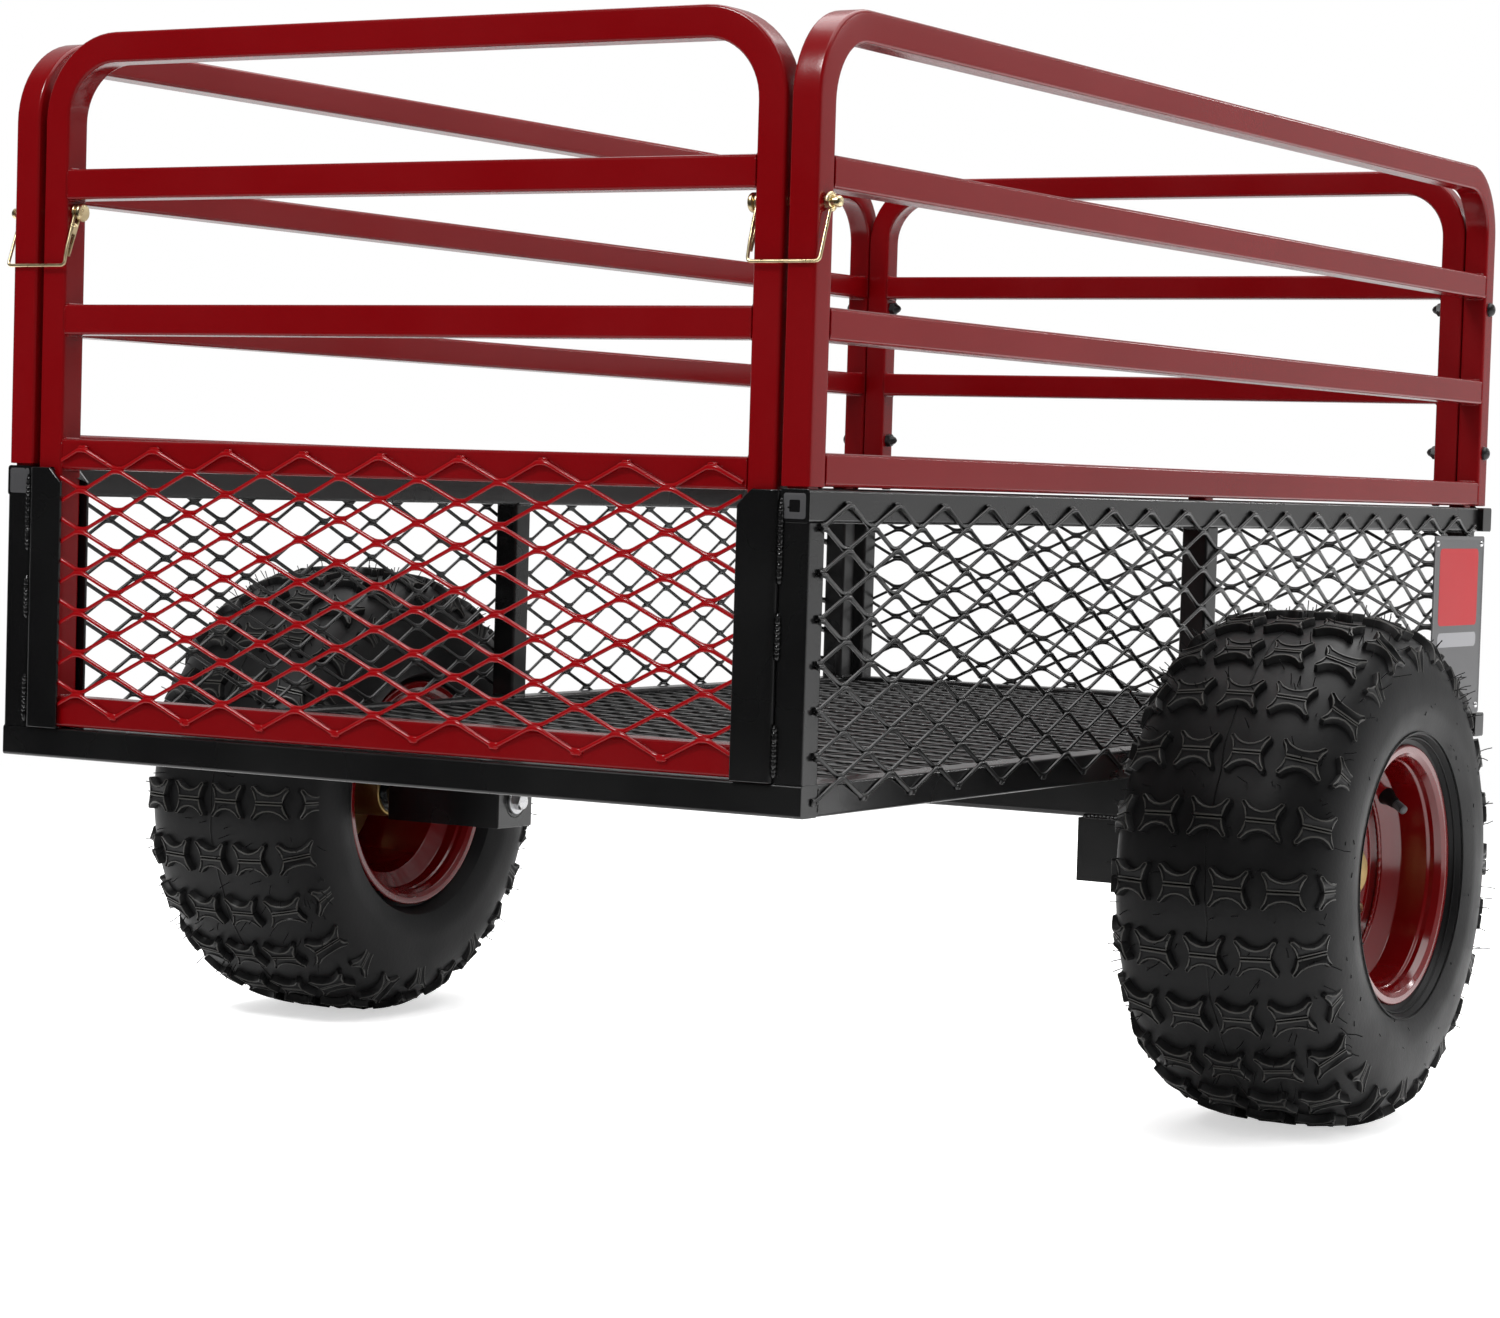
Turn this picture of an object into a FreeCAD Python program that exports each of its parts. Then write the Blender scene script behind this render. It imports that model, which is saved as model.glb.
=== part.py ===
import FreeCAD, Part
import math
import os
from FreeCAD import Placement, Rotation, Vector

# Two-wheel utility trailer with removable stake racks and a lift-out tailgate.
# Frame: X forward to the hitch, Y to the left, Z up, origin on the ground under
# the middle of the overall length and width. Heights in the bed are taken from
# the underside of its bottom rails ("deck"), distances along it from its rear face.

driving = {
    "tube_size": 25.0,
    "tube_wall": 2.0,
    "bed_width": 774.0,
    "bed_length": 1421.0,
    "bed_height": 242.5,
    "deck_height": 295.0,
    "sheet_thick": 2.5,
    "mesh_long": 76.2,
    "mesh_short": 33.87,
    "mesh_strand": 4.0,
    "rack_lift_gap": 2.0,
    "rack_height": 355.0,
    "rail_pitch": 111.4,
    "bend_radius": 72.0,
    "gate_gap": 1.5,
    "gate_inset": 31.0,
    "guide_wide": 35.0,
    "guide_plate": 3.0,
    "guide_slot": 31.0,
    "stake_size": 18.0,
    "stake_drop": 60.0,
    "pin_radius": 4.5,
    "wire_radius": 1.5,
    "bail_reach": 47.0,
    "bolt_radius": 4.0,
    "tyre_radius": 222.5,
    "tyre_width": 206.0,
    "bead_radius": 101.0,
    "rim_width": 176.0,
    "rim_flange": 112.0,
    "rim_gauge": 3.0,
    "disc_offset": 22.0,
    "wheel_gap": 131.0,
    "axle_back": 655.0,
    "stub_radius": 16.0,
    "spindle_radius": 12.5,
    "bearing_radius": 21.0,
    "bearing_wide": 15.0,
    "hub_radius": 26.0,
    "hub_flange": 66.0,
    "stud_circle": 50.8,
    "stud_radius": 5.0,
    "scallop_circle": 62.0,
    "valve_radius": 5.5,
    "valve_angle": 42.0,
    "beam_size": 42.0,
    "beam_wall": 3.0,
    "bracket_inset": -58.0,
    "bracket_wide": 133.0,
    "bracket_skirt": 10.0,
    "end_bolt": 6.0,
    "end_bolt_depth": 30.0,
    "stub_reach": 70.0,
    "spindle_reach": 176.0,
    "tongue_size": 50.0,
    "tongue_wall": 3.0,
    "tongue_reach": 760.0,
    "fork_root": 70.0,
    "fork_gap": 28.0,
    "fork_plate": 8.0,
    "hitch_radius": 8.25,
    "leg_size": 32.0,
    "leg_wall": 3.0,
    "leg_back": 330.0,
    "leg_drop": 22.0,
    "leg_head": 9.0,
    "leg_lean": 5.0,
    "leg_pin": 5.0,
    "foot_size": 110.0,
    "foot_heel": 36.0,
    "foot_thick": 5.0,
    "ear_size": 44.0,
    "ear_thick": 5.0,
    "running_gap": 0.05,
}
d = dict(driving)
tube = d["tube_size"]
# The rearmost face is the tailgate guide, the foremost is the nose of the hitch fork.
d["nose_radius"] = d["tongue_size"] / 2
front_reach = d["bed_length"] + tube + d["tongue_reach"] + d["nose_radius"]
rear_reach = d["guide_plate"] + 1.0
d["bed_rear"] = -(front_reach - rear_reach) / 2
d["half_width"] = d["bed_width"] / 2
d["tube_bore"] = tube - 2 * d["tube_wall"]
d["post_height"] = d["bed_height"] - 2 * tube
d["rack_base"] = d["bed_height"] + d["rack_lift_gap"]
d["rack_length"] = d["bed_length"] + tube
d["gate_base"] = tube + d["gate_gap"]
d["gate_top"] = d["rack_base"] + d["rack_height"]
d["gate_width"] = d["bed_width"] - 2 * d["gate_inset"]
d["front_rack_width"] = d["bed_width"] - 2 * 27.0
d["wheel_centre"] = d["half_width"] + d["wheel_gap"]
d["stake_length"] = d["stake_drop"] + d["rack_lift_gap"] + tube / 2
d["bracket_height"] = (d["deck_height"] - d["beam_size"] + d["stub_radius"] + d["bracket_skirt"]
                       - d["tyre_radius"])
d["tongue_length"] = (d["rack_length"] + d["tongue_reach"] - d["fork_root"] - d["axle_back"]
                      - d["beam_size"] / 2)
d["pivot_height"] = d["deck_height"] - d["tongue_size"] - d["leg_drop"]

doc = FreeCAD.newDocument("trailer")
sheet = doc.addObject("Spreadsheet::Sheet", "Dims")
for row, (alias, number) in enumerate(d.items(), start=1):
    sheet.set("A%d" % row, alias)
    sheet.set("B%d" % row, repr(float(number)))
    sheet.setAlias("B%d" % row, alias)
doc.recompute()

nodes = []
x_rear = d["bed_rear"]
deck = d["deck_height"]
half = d["half_width"]
axle_x = x_rear + d["axle_back"]
axle_z = d["tyre_radius"]
fork_x = x_rear + d["rack_length"] + d["tongue_reach"]
rotations = {
    "x": Rotation(Vector(0, 1, 0), 90),
    "y": Rotation(Vector(1, 0, 0), -90),
    "z": Rotation(),
}


def keep(obj, label):
    # Marks an object as a finished sub-part under the name of its file.
    obj.Label = label
    nodes.append(obj)
    return obj


def bind(obj, prop, formula):
    # Ties one size to the sheet; names in the formula are sheet aliases.
    words = formula.split()
    obj.setExpression(prop, " ".join("Dims." + w if w[0].isalpha() else w for w in words))


def box(size, corner, name="Block"):
    # size: three formulas, corner: lowest corner in the trailer's frame.
    block = doc.addObject("Part::Box", name)
    for prop, formula in zip(("Length", "Width", "Height"), size):
        bind(block, prop, formula)
    block.Placement.Base = Vector(*corner)
    return block


def rod(radius, height, centre, axis="z", name="Rod", angle=None):
    # A cylinder whose first face is centred on centre and which runs up the axis.
    cylinder = doc.addObject("Part::Cylinder", name)
    bind(cylinder, "Radius", radius)
    bind(cylinder, "Height", height)
    if angle is not None:
        cylinder.Angle = angle
    cylinder.Placement = Placement(Vector(*centre), rotations[axis])
    return cylinder


def cut(base, tool, name="Cut"):
    result = doc.addObject("Part::Cut", name)
    result.Base = base
    result.Tool = tool
    return result


def join(shapes, name="Join"):
    result = doc.addObject("Part::MultiFuse", name)
    result.Shapes = shapes
    return result


def group(shapes, name="Set"):
    # Separate solids that share a node, such as identical fasteners.
    result = doc.addObject("Part::Compound", name)
    result.Links = shapes
    return result


def square_tube(axis, length, corner, size="tube_size", wall="tube_wall"):
    # Hollow square section along one axis, open at both ends.
    along = "xyz".index(axis)
    outer = [size] * 3
    outer[along] = length
    bore = [size + " - 2 * " + wall] * 3
    bore[along] = length
    wall_value = d[wall]
    bore_corner = [c + (0 if i == along else wall_value) for i, c in enumerate(corner)]
    return cut(box(outer, corner), box(bore, bore_corner))


def drill(base, holes):
    # Removes a list of tools from a shape.
    return cut(base, holes[0] if len(holes) == 1 else group(holes))


def side_of(side, inboard, wide):
    # Lowest Y of something `wide` that starts `inboard` of the bed's side face.
    return half - inboard - wide if side > 0 else -half + inboard


def beyond(side, start, length):
    # Lowest Y of something `length` long that starts `start` outboard of the bed's side face.
    return half + start if side > 0 else -half - start - length


sides = (("left", 1), ("right", -1))
stake_spots = (tube / 2, 730.0, 1400.5)


def bottom_frame():
    # Perimeter of the bed floor and the bearers under it.
    z = deck
    keep(square_tube("y", "bed_width", (x_rear, -half, z)), "rear_rail")
    for name, side in sides:
        y = side_of(side, 0, tube)
        keep(square_tube("x", "bed_length - tube_size", (x_rear + tube, y, z)), "side_rail_" + name)
    bearers = []
    for back in (330.0, 980.0, 1396.0):
        bearers.append(box(("tube_size", "bed_width - 2 * tube_size", "tube_size - 7"),
                           (x_rear + back, -half + tube, z)))
        bore = box(("tube_bore", "bed_width - 2 * tube_size", "tube_bore - 7"),
                   (x_rear + back + d["tube_wall"], -half + tube, z + d["tube_wall"]))
        bearers[-1] = cut(bearers[-1], bore)
    keep(group(bearers), "floor_bearers")


def front_frame():
    # Front wall: two rails that stand proud of the sides, and two narrow posts.
    x = x_rear + d["bed_length"]
    proud = 5.5
    for name, z in (("bottom", deck), ("top", deck + d["bed_height"] - tube)):
        rail = square_tube("y", "bed_width + 11", (x, -half - proud, z))
        keep(rail, "front_rail_" + name)
    posts = []
    for side in (1, -1):
        y = side_of(side, 15, 19)
        post = cut(box(("tube_size", "tube_size - 6", "post_height"), (x, y, deck + tube)),
                   box(("tube_bore", "tube_bore - 6", "post_height"),
                       (x + d["tube_wall"], y + d["tube_wall"], deck + tube)))
        posts.append(post)
    keep(group(posts), "front_posts")


def side_frames():
    # Top rails with square stake openings, corner posts and a middle post each.
    for name, side in sides:
        y = side_of(side, 0, tube)
        top = deck + d["bed_height"] - tube
        rail = square_tube("x", "bed_length", (x_rear, y, top))
        openings = [box(("tube_bore", "tube_bore", "tube_size"),
                        (x_rear + spot - d["tube_bore"] / 2, y + d["tube_wall"], top))
                    for spot in stake_spots]
        keep(drill(rail, openings), "top_rail_" + name)
        for place, spot in zip(("rear", "middle", "front"), stake_spots):
            post = square_tube("z", "post_height", (x_rear + spot - tube / 2, y, deck + tube))
            keep(post, "post_%s_%s" % (place, name))


def rail_plugs():
    # Pressed-in plastic plugs that close the open ends of the top rails.
    plugs = []
    wall = d["tube_wall"]
    sunk = 0.3
    z = deck + d["bed_height"] - tube + wall
    for name, side in sides:
        y = side_of(side, wall, d["tube_bore"])
        plugs.append(box(("tube_wall - 0.5", "tube_bore", "tube_bore"), (x_rear + sunk, y, z)))
        front = x_rear + d["bed_length"] - 2 * wall - 1.0
        plugs.append(box(("tube_wall + 1", "tube_bore", "tube_bore"), (front, y, z)))
    keep(group(plugs), "rail_plugs")


def gate_guides():
    # Bent steel channels on the rear posts in which the tailgate's posts slide.
    plate = d["guide_plate"]
    wide = d["guide_wide"]
    base = deck + tube
    top = base + d["bed_height"] - tube - 1.0
    chamfer = 12.0
    x0 = x_rear - plate - 1.0
    depth = "guide_slot + 2 * guide_plate"
    for name, side in sides:
        low_y = side_of(side, tube, wide)
        shell = box((depth, "guide_wide", "bed_height - tube_size - 1"), (x0, low_y, base))
        slot = box(("guide_slot", "guide_wide", "bed_height"), (x0 + plate, low_y - side * plate, base))
        tip = -side * (wide / 2) + low_y + wide / 2
        corners = [Vector(x0 - 1, tip + y, top + z)
                   for y, z in ((0, 1), (side * chamfer, 1), (0, -chamfer), (0, 1))]
        wedge = doc.addObject("Part::Feature", "Chamfer")
        wedge.Shape = Part.Face(Part.makePolygon(corners)).extrude(Vector(2 * wide, 0, 0))
        wedge.Placement = Placement()
        keep(drill(shell, [slot, wedge]), "gate_guide_" + name)


def expanded_sheet(label, along, up, length, height, middle, thick, coarse=1):
    # Flattened expanded metal: a thin sheet with staggered diamond openings.
    # along and up are unit vectors in the sheet, middle is its centre on one face.
    # coarse makes each opening stand for several, at the same open area.
    long_half = coarse * (d["mesh_long"] / 2 - d["mesh_strand"] * 1.1)
    short_half = coarse * (d["mesh_short"] / 2 - d["mesh_strand"] * 0.62)
    step_u = coarse * d["mesh_long"] / 2
    step_v = coarse * d["mesh_short"] / 2
    border = 3.0
    columns = int((length / 2 - border) / step_u)
    rows = int((height / 2 - border) / step_v)
    holes = []
    for i in range(-columns, columns + 1):
        for j in range(-rows, rows + 1):
            if (i + j) % 2:
                continue
            u = i * step_u
            v = j * step_v
            if abs(u) + long_half > length / 2 - border or abs(v) + short_half > height / 2 - border:
                continue
            tips = [(u + long_half, v), (u, v + short_half), (u - long_half, v), (u, v - short_half)]
            corners = [middle + along * p + up * q for p, q in tips]
            holes.append(Part.makePolygon(corners + corners[:1]))
    rim = [middle + along * (length / 2 * p) + up * (height / 2 * q)
           for p, q in ((-1, -1), (1, -1), (1, 1), (-1, 1))]
    outline = Part.makePolygon(rim + rim[:1])
    face = Part.makeFace([outline] + holes, "Part::FaceMakerBullseye")
    sheet_part = doc.addObject("Part::Feature", "Mesh")
    sheet_part.Shape = face.extrude(thick)
    sheet_part.Placement = Placement()
    return keep(sheet_part, label)


def bed_meshes():
    # Expanded metal on the outside of the side frames, the front frame and the floor.
    thick = d["sheet_thick"]
    x_mid = x_rear + d["bed_length"] / 2
    z_mid = deck + d["bed_height"] / 2
    up = Vector(0, 0, 1)
    for name, side in sides:
        centre = Vector(x_mid, side * half, z_mid)
        expanded_sheet("side_mesh_" + name, Vector(1, 0, 0), up, d["bed_length"] - 16,
                       d["bed_height"] - 28, centre, Vector(0, side * thick, 0))
    front = Vector(x_rear + d["rack_length"], 0, z_mid)
    expanded_sheet("front_mesh", Vector(0, 1, 0), up, d["bed_width"] - 50, d["bed_height"] - 28,
                   front, Vector(thick, 0, 0))
    floor = Vector(x_rear + (d["bed_length"] + tube) / 2, 0, deck + tube - 7)
    expanded_sheet("floor_mesh", Vector(0, 1, 0), Vector(1, 0, 0), d["bed_width"] - 2 * tube,
                   d["bed_length"] - tube, floor, Vector(0, 0, thick), coarse=2)


def badge_plate():
    # Plain sheet-metal plate at the front end of the right side.
    thick = 1.5
    base = deck + tube + 1.0
    x = x_rear + d["bed_length"] - 139.0
    wide = 146.0
    plate = box(("146", "1.5", "bed_height - 56"), (x, -half - d["sheet_thick"] - thick, base))
    levels = (base + 8.0, base + d["bed_height"] - 64.0)
    holes = [rod("2.2", "6", (across, -half - 6, z), "y") for z in levels for across in (x + 8, x + wide - 8)]
    keep(drill(plate, holes), "badge_plate")


def hoop(length, height, legs_down, corner, axis):
    # Bent square-tube hoop with rails, all bores open to each other.
    # corner is the lowest corner of the bottom rail, axis is "x" or "y".
    out = []
    inn = []
    wall = d["tube_wall"]
    bend = d["bend_radius"]

    def put(u, v, w):
        if axis == "x":
            return (corner[0] + u, corner[1] + v, corner[2] + w)
        return (corner[0] + v, corner[1] + u, corner[2] + w)

    def bar(target, size, place):
        if axis == "y":
            size = (size[1], size[0], size[2])
        target.append(box(size, put(*place)))

    length_value, length_text = length
    height_value, height_text = height
    for shell, inset, size in ((out, 0.0, "tube_size"), (inn, wall, "tube_bore")):
        for u in (inset, length_value - tube + inset):
            bar(shell, (size, size, height_text + " - bend_radius + " + repr(legs_down)),
                (u, inset, -legs_down))
        bar(shell, (length_text + " - 2 * bend_radius", size, size),
            (bend, inset, height_value - tube + inset))
        outer_r = "bend_radius" if inset == 0.0 else "bend_radius - tube_wall"
        inner_r = "bend_radius - tube_size" if inset == 0.0 else "bend_radius - tube_size + tube_wall"
        for u, turn in ((bend, 90.0), (length_value - bend, 0.0)):
            ring = cut(rod(outer_r, size, (0, 0, 0), "z", angle=90.0),
                       rod(inner_r, size, (0, 0, 0), "z", angle=90.0))
            # The ring's plane is stood up so that it lies in the hoop's plane.
            spin = Rotation(Vector(0, 0, 1), turn)
            if axis == "x":
                stand = Rotation(Vector(1, 0, 0), 90)
                base = Vector(*put(u, inset + (tube - 2 * inset), height_value - bend))
            else:
                stand = Rotation(Vector(0, 0, 1), 90).multiply(Rotation(Vector(1, 0, 0), 90))
                base = Vector(*put(u, inset, height_value - bend))
            ring.Placement = Placement(base, stand.multiply(spin))
            shell.append(ring)
    return out, inn, bar


def rack(label, axis, length, height, corner, rails, legs_down=0.0, holes=(), extra=()):
    # rails: heights of the rails' undersides above the corner.
    out, inn, bar = hoop(length, height, legs_down, corner, axis)
    wall = d["tube_wall"]
    for w in rails:
        bar(out, (length[1] + " - 2 * tube_size", "tube_size", "tube_size"), (tube, 0, w))
        bar(inn, (length[1] + " - 2 * tube_wall", "tube_bore", "tube_bore"), (wall, wall, w + wall))
    body = cut(join(out), join(inn))
    if extra:
        body = join([body] + list(extra))
    if holes:
        body = drill(body, list(holes))
    return keep(body, label)


def stake(x, y):
    # Solid spigot under a side rack that drops into a bed post.
    gap = (tube - d["stake_size"]) / 2
    z = deck + d["rack_base"] - d["rack_lift_gap"] - d["stake_drop"]
    return box(("stake_size", "stake_size", "stake_length"), (x - d["stake_size"] / 2, y + gap, z))


bolt_levels = (300.0, 452.0)
pin_level = 453.0
pin_x = x_rear + 13.5
bolt_x = x_rear + d["bed_length"] + tube / 2


def racks():
    pitch = d["rail_pitch"]
    upper = [d["rack_height"] - tube - pitch * k for k in (1, 2)]
    rack_h = (d["rack_height"], "rack_height")
    base = deck + d["rack_base"]
    for name, side in sides:
        y = side_of(side, 1, tube)
        pin_hole = rod("pin_radius + 0.5", "tube_size + 20", (pin_x, y - 10, deck + pin_level), "y")
        bolt_holes = [rod("bolt_radius + 0.5", "tube_size + 20", (bolt_x, y - 10, deck + z), "y")
                      for z in bolt_levels]
        stakes = [stake(x_rear + spot, y) for spot in stake_spots]
        rack("rack_" + name, "x", (d["rack_length"], "rack_length"), rack_h, (x_rear, y, base),
             [0.0] + upper, holes=[pin_hole] + bolt_holes, extra=stakes)
    wide = d["front_rack_width"]
    holes = [rod("bolt_radius + 0.5", "bed_width", (bolt_x, -half, deck + z), "y") for z in bolt_levels]
    rack("rack_front", "y", (wide, "front_rack_width"), rack_h,
         (x_rear + d["bed_length"], -wide / 2, base), [0.0] + upper, holes=holes)


def tailgate():
    pitch = d["rail_pitch"]
    wide = d["gate_width"]
    low = deck + d["gate_base"]
    high = d["gate_top"] - d["gate_base"]
    rails = [0.0] + [high - tube - pitch * k for k in (1, 2, 3)]
    hole = rod("pin_radius + 0.5", "bed_width", (pin_x, -half, deck + pin_level), "y")
    rack("tailgate", "y", (wide, "gate_width"), (high, "gate_top - gate_base"),
         (x_rear + 2, -wide / 2, low), rails, holes=[hole])
    mesh_high = high - 3 * pitch - 6
    centre = Vector(x_rear + 2, 0, low + 3 + mesh_high / 2)
    expanded_sheet("tailgate_mesh", Vector(0, 1, 0), Vector(0, 0, 1), wide - 2 * tube + 6, mesh_high,
                   centre, Vector(-d["sheet_thick"], 0, 0))


def rack_fasteners():
    # Domed bolts and cap nuts tie the front rack to the side racks.
    bolts = []
    nuts = []
    for side in (1, -1):
        for z in bolt_levels:
            outer = side * (half - 1)
            shank = rod("bolt_radius", "60", (bolt_x, outer if side < 0 else outer - 60, deck + z), "y")
            head = rod("bolt_radius * 1.9", "6", (bolt_x, outer if side > 0 else outer - 6, deck + z), "y")
            bolts.append(join([shank, head]))
            inner = side * (half - 52)
            nut = rod("bolt_radius * 1.7", "12", (bolt_x, inner if side < 0 else inner - 12, deck + z), "y")
            bore = rod("bolt_radius", "9", (bolt_x, inner if side < 0 else inner - 9, deck + z), "y")
            nuts.append(cut(nut, bore))
    keep(group(bolts), "rack_bolts")
    keep(group(nuts), "rack_cap_nuts")


def lock_pins():
    # Round-headed pins through tailgate post and rack post, head inboard.
    inner = 60.2
    outer = -12.0
    pins = []
    for side in (1, -1):
        start = side * (half - inner)
        end = side * (half - outer)
        shaft = rod("pin_radius", repr(inner - outer), (pin_x, min(start, end), deck + pin_level), "y")
        head_y = start if side < 0 else start - 5
        head = rod("pin_radius * 1.75", "5", (pin_x, head_y, deck + pin_level), "y")
        pins.append(join([shaft, head]))
    keep(group(pins), "lock_pins")


def wire_bail(name, side):
    # Square wire bail: two eyes on the pin, two legs and a crossbar behind the posts.
    wire = d["wire_radius"]
    eye = d["pin_radius"] + d["running_gap"] + wire
    reach = d["bail_reach"]
    drop_x = pin_x - (x_rear - 2.2)
    tilt = math.asin(drop_x / reach)
    down = Vector(-math.sin(tilt), 0, -math.cos(tilt))
    inner_y = side * (half - 58.2)
    outer_y = side * (half + 3.0)
    centre_z = deck + pin_level
    bend = 5.0
    solids = []
    for y in (inner_y, outer_y):
        ring = Part.makeTorus(eye, wire, Vector(pin_x, y, centre_z), Vector(0, 1, 0))
        leg_start = Vector(pin_x, y, centre_z) + down * eye
        solids.append(ring)
        solids.append(Part.makeCylinder(wire, reach - eye - bend, leg_start, down))
    cross = Vector(pin_x, 0, centre_z) + down * reach
    inward = Vector(0, 1 if outer_y < inner_y else -1, 0)
    for y, way in ((outer_y, inward), (inner_y, inward * -1)):
        corner = Vector(cross.x, y, cross.z)
        leg_end = corner - down * bend
        bar_end = corner + way * bend
        middle = (corner - down * bend + way * bend)
        mid_point = middle + (corner - middle).normalize() * bend
        path = Part.Wire(Part.Arc(leg_end, mid_point, bar_end).toShape())
        profile = Part.Wire(Part.makeCircle(wire, leg_end, down))
        solids.append(path.makePipeShell([profile], True, True))
    low_y = min(outer_y, inner_y) + bend
    span = abs(outer_y - inner_y) - 2 * bend
    solids.append(Part.makeCylinder(wire, span, Vector(cross.x, low_y, cross.z), Vector(0, 1, 0)))
    solid = solids[0].multiFuse(solids[1:])
    bail = doc.addObject("Part::Feature", "Bail")
    bail.Shape = solid
    bail.Placement = Placement()
    keep(bail, "bail_" + name)


def bracket_y(side):
    return side_of(side, d["bracket_inset"], d["bracket_wide"])


def stub_y(side, length):
    # Lowest Y of a piece that runs outboard from the bracket's inboard face.
    return beyond(side, -d["bracket_inset"] - d["bracket_wide"], length)


def end_rod(radius, length, start, side, name):
    # Part of an end bolt's head, its near end at `start` from the bracket's inboard face.
    y = stub_y(side, float(length)) + side * start
    return rod(radius, length, (axle_x, y, axle_z), "y", name)


def axle():
    # Cross beam, a drop bracket under each end, and the end bolts that hold the stub axles.
    beam = d["beam_size"]
    wall = d["beam_wall"]
    x = axle_x - beam / 2
    solid = box(("beam_size", "bed_width", "beam_size"), (x, -half, deck - beam))
    bore = ("beam_size - 2 * beam_wall", "bed_width", "beam_size - 2 * beam_wall")
    keep(cut(solid, box(bore, (x + wall, -half, deck - beam + wall))), "axle_beam")
    brackets = []
    bolts = []
    flange = 8.0
    for name, side in sides:
        y = bracket_y(side)
        block = box(("beam_size + 16", "bracket_wide", "bracket_height"),
                    (x - flange, y, deck - beam - d["bracket_height"]))
        bore = rod("stub_radius", "bracket_wide", (axle_x, y, axle_z), "y")
        brackets.append(cut(block, bore))
        shank = rod("end_bolt", "end_bolt_depth",
                    (axle_x, stub_y(side, d["end_bolt_depth"]), axle_z), "y", "Shank")
        washer = end_rod("18.5", "3", -3, side, "Washer")
        head = end_rod("9", "7", -10, side, "Head")
        bolts.append(join([shank, washer, head]))
    keep(group(brackets), "axle_brackets")
    keep(group(bolts), "axle_bolts")


def stub_axle(name, side):
    # Solid stub held in the bracket, tapped inboard for its end bolt, with a spindle outboard.
    length = d["stub_reach"] + d["bracket_inset"] + d["bracket_wide"]
    stub = rod("stub_radius", "stub_reach + bracket_inset + bracket_wide",
               (axle_x, stub_y(side, length), axle_z), "y", "Stub")
    spindle_y = beyond(side, d["stub_reach"], d["spindle_reach"] - d["stub_reach"])
    spindle = rod("spindle_radius", "spindle_reach - stub_reach", (axle_x, spindle_y, axle_z), "y", "Spindle")
    hole = rod("end_bolt", "end_bolt_depth", (axle_x, stub_y(side, d["end_bolt_depth"]), axle_z), "y")
    keep(drill(join([stub, spindle]), [hole]), "stub_axle_" + name)


def axle_nuts():
    nuts = []
    for name, side in sides:
        y = beyond(side, d["spindle_reach"] - 13, 10)
        nut = rod("spindle_radius + 6", "10", (axle_x, y, axle_z), "y")
        nuts.append(cut(nut, rod("spindle_radius", "10", (axle_x, y, axle_z), "y")))
    keep(group(nuts), "axle_nuts")


def tongue_block():
    return box(("tongue_length", "tongue_size", "tongue_size"),
               (axle_x + d["beam_size"] / 2, -d["tongue_size"] / 2, deck - d["tongue_size"]))


def drawbar():
    # Tongue under the bed from the axle beam to the fork, with two braces.
    size = d["tongue_size"]
    wall = d["tongue_wall"]
    bore = ("tongue_length", "tongue_size - 2 * tongue_wall", "tongue_size - 2 * tongue_wall")
    keep(cut(tongue_block(), box(bore, (axle_x + d["beam_size"] / 2, wall - size / 2, deck - size + wall))),
         "tongue")
    braces = []
    front = x_rear + d["rack_length"]
    brace_reach = 420.0
    for name, side in sides:
        start = Vector(front - tube / 2, side * (half - 110), 0)
        end = Vector(front + brace_reach, side * (size / 2 + 8), 0)
        run = end - start
        length = repr(round(run.Length, 3))
        turn = Rotation(Vector(0, 0, 1), math.degrees(math.atan2(run.y, run.x)))
        brace = square_tube("x", length, (0, 0, 0))
        corner = Vector(start.x, start.y, deck - tube) + turn.multVec(Vector(0, -tube / 2, 0))
        brace.Placement = Placement(corner, turn)
        braces.append(brace)
    keep(drill(group(braces), [tongue_block()]), "tongue_braces")


def fork():
    # Clevis fork: two plates on a root block, bored for the hitch pin.
    gap = d["fork_gap"]
    plate = d["fork_plate"]
    y = -d["tongue_size"] / 2
    middle = deck - d["tongue_size"] / 2
    root_x = fork_x - d["fork_root"]
    pieces = [box(("10", "tongue_size", "fork_gap + 2 * fork_plate"), (root_x, y, middle - gap / 2 - plate))]
    for z in (middle - gap / 2 - plate, middle + gap / 2):
        pieces.append(box(("fork_root", "tongue_size", "fork_plate"), (root_x, y, z)))
        pieces.append(rod("nose_radius", "fork_plate", (fork_x, 0, z)))
    bore = rod("hitch_radius", "fork_gap + 4 * fork_plate", (fork_x, 0, middle - gap / 2 - 2 * plate))
    keep(drill(join(pieces), [bore]), "hitch_fork")


leg_x = fork_x - d["leg_back"]


def leg_bracket():
    # Two ears and a saddle under the tongue, with the headed pin that the leg turns on.
    size = d["leg_size"]
    ear = d["ear_thick"]
    gap = 1.0
    high = d["ear_size"]
    pivot = d["pivot_height"]
    pieces = [box(("ear_size", "leg_size + 2 * ear_thick + 2", "3"),
                  (leg_x - high / 2, -size / 2 - ear - gap, pivot + d["leg_drop"] - 3))]
    for y in (size / 2 + gap, -size / 2 - gap - ear):
        plate = box(("ear_size", "ear_thick", "ear_size"), (leg_x - high / 2, y, pivot - high / 2))
        pieces.append(drill(plate, [rod("leg_pin", "ear_thick", (leg_x, y, pivot), "y")]))
    keep(join(pieces), "leg_bracket")
    reach = size / 2 + ear + gap
    pin = rod("leg_pin", "leg_size + 20", (leg_x, -size / 2 - 10, pivot), "y")
    heads = [rod("8", "4", (leg_x, y, pivot), "y", "Head") for y in (-reach - 4, reach)]
    keep(join([pin] + heads), "leg_pivot_pin")


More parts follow.
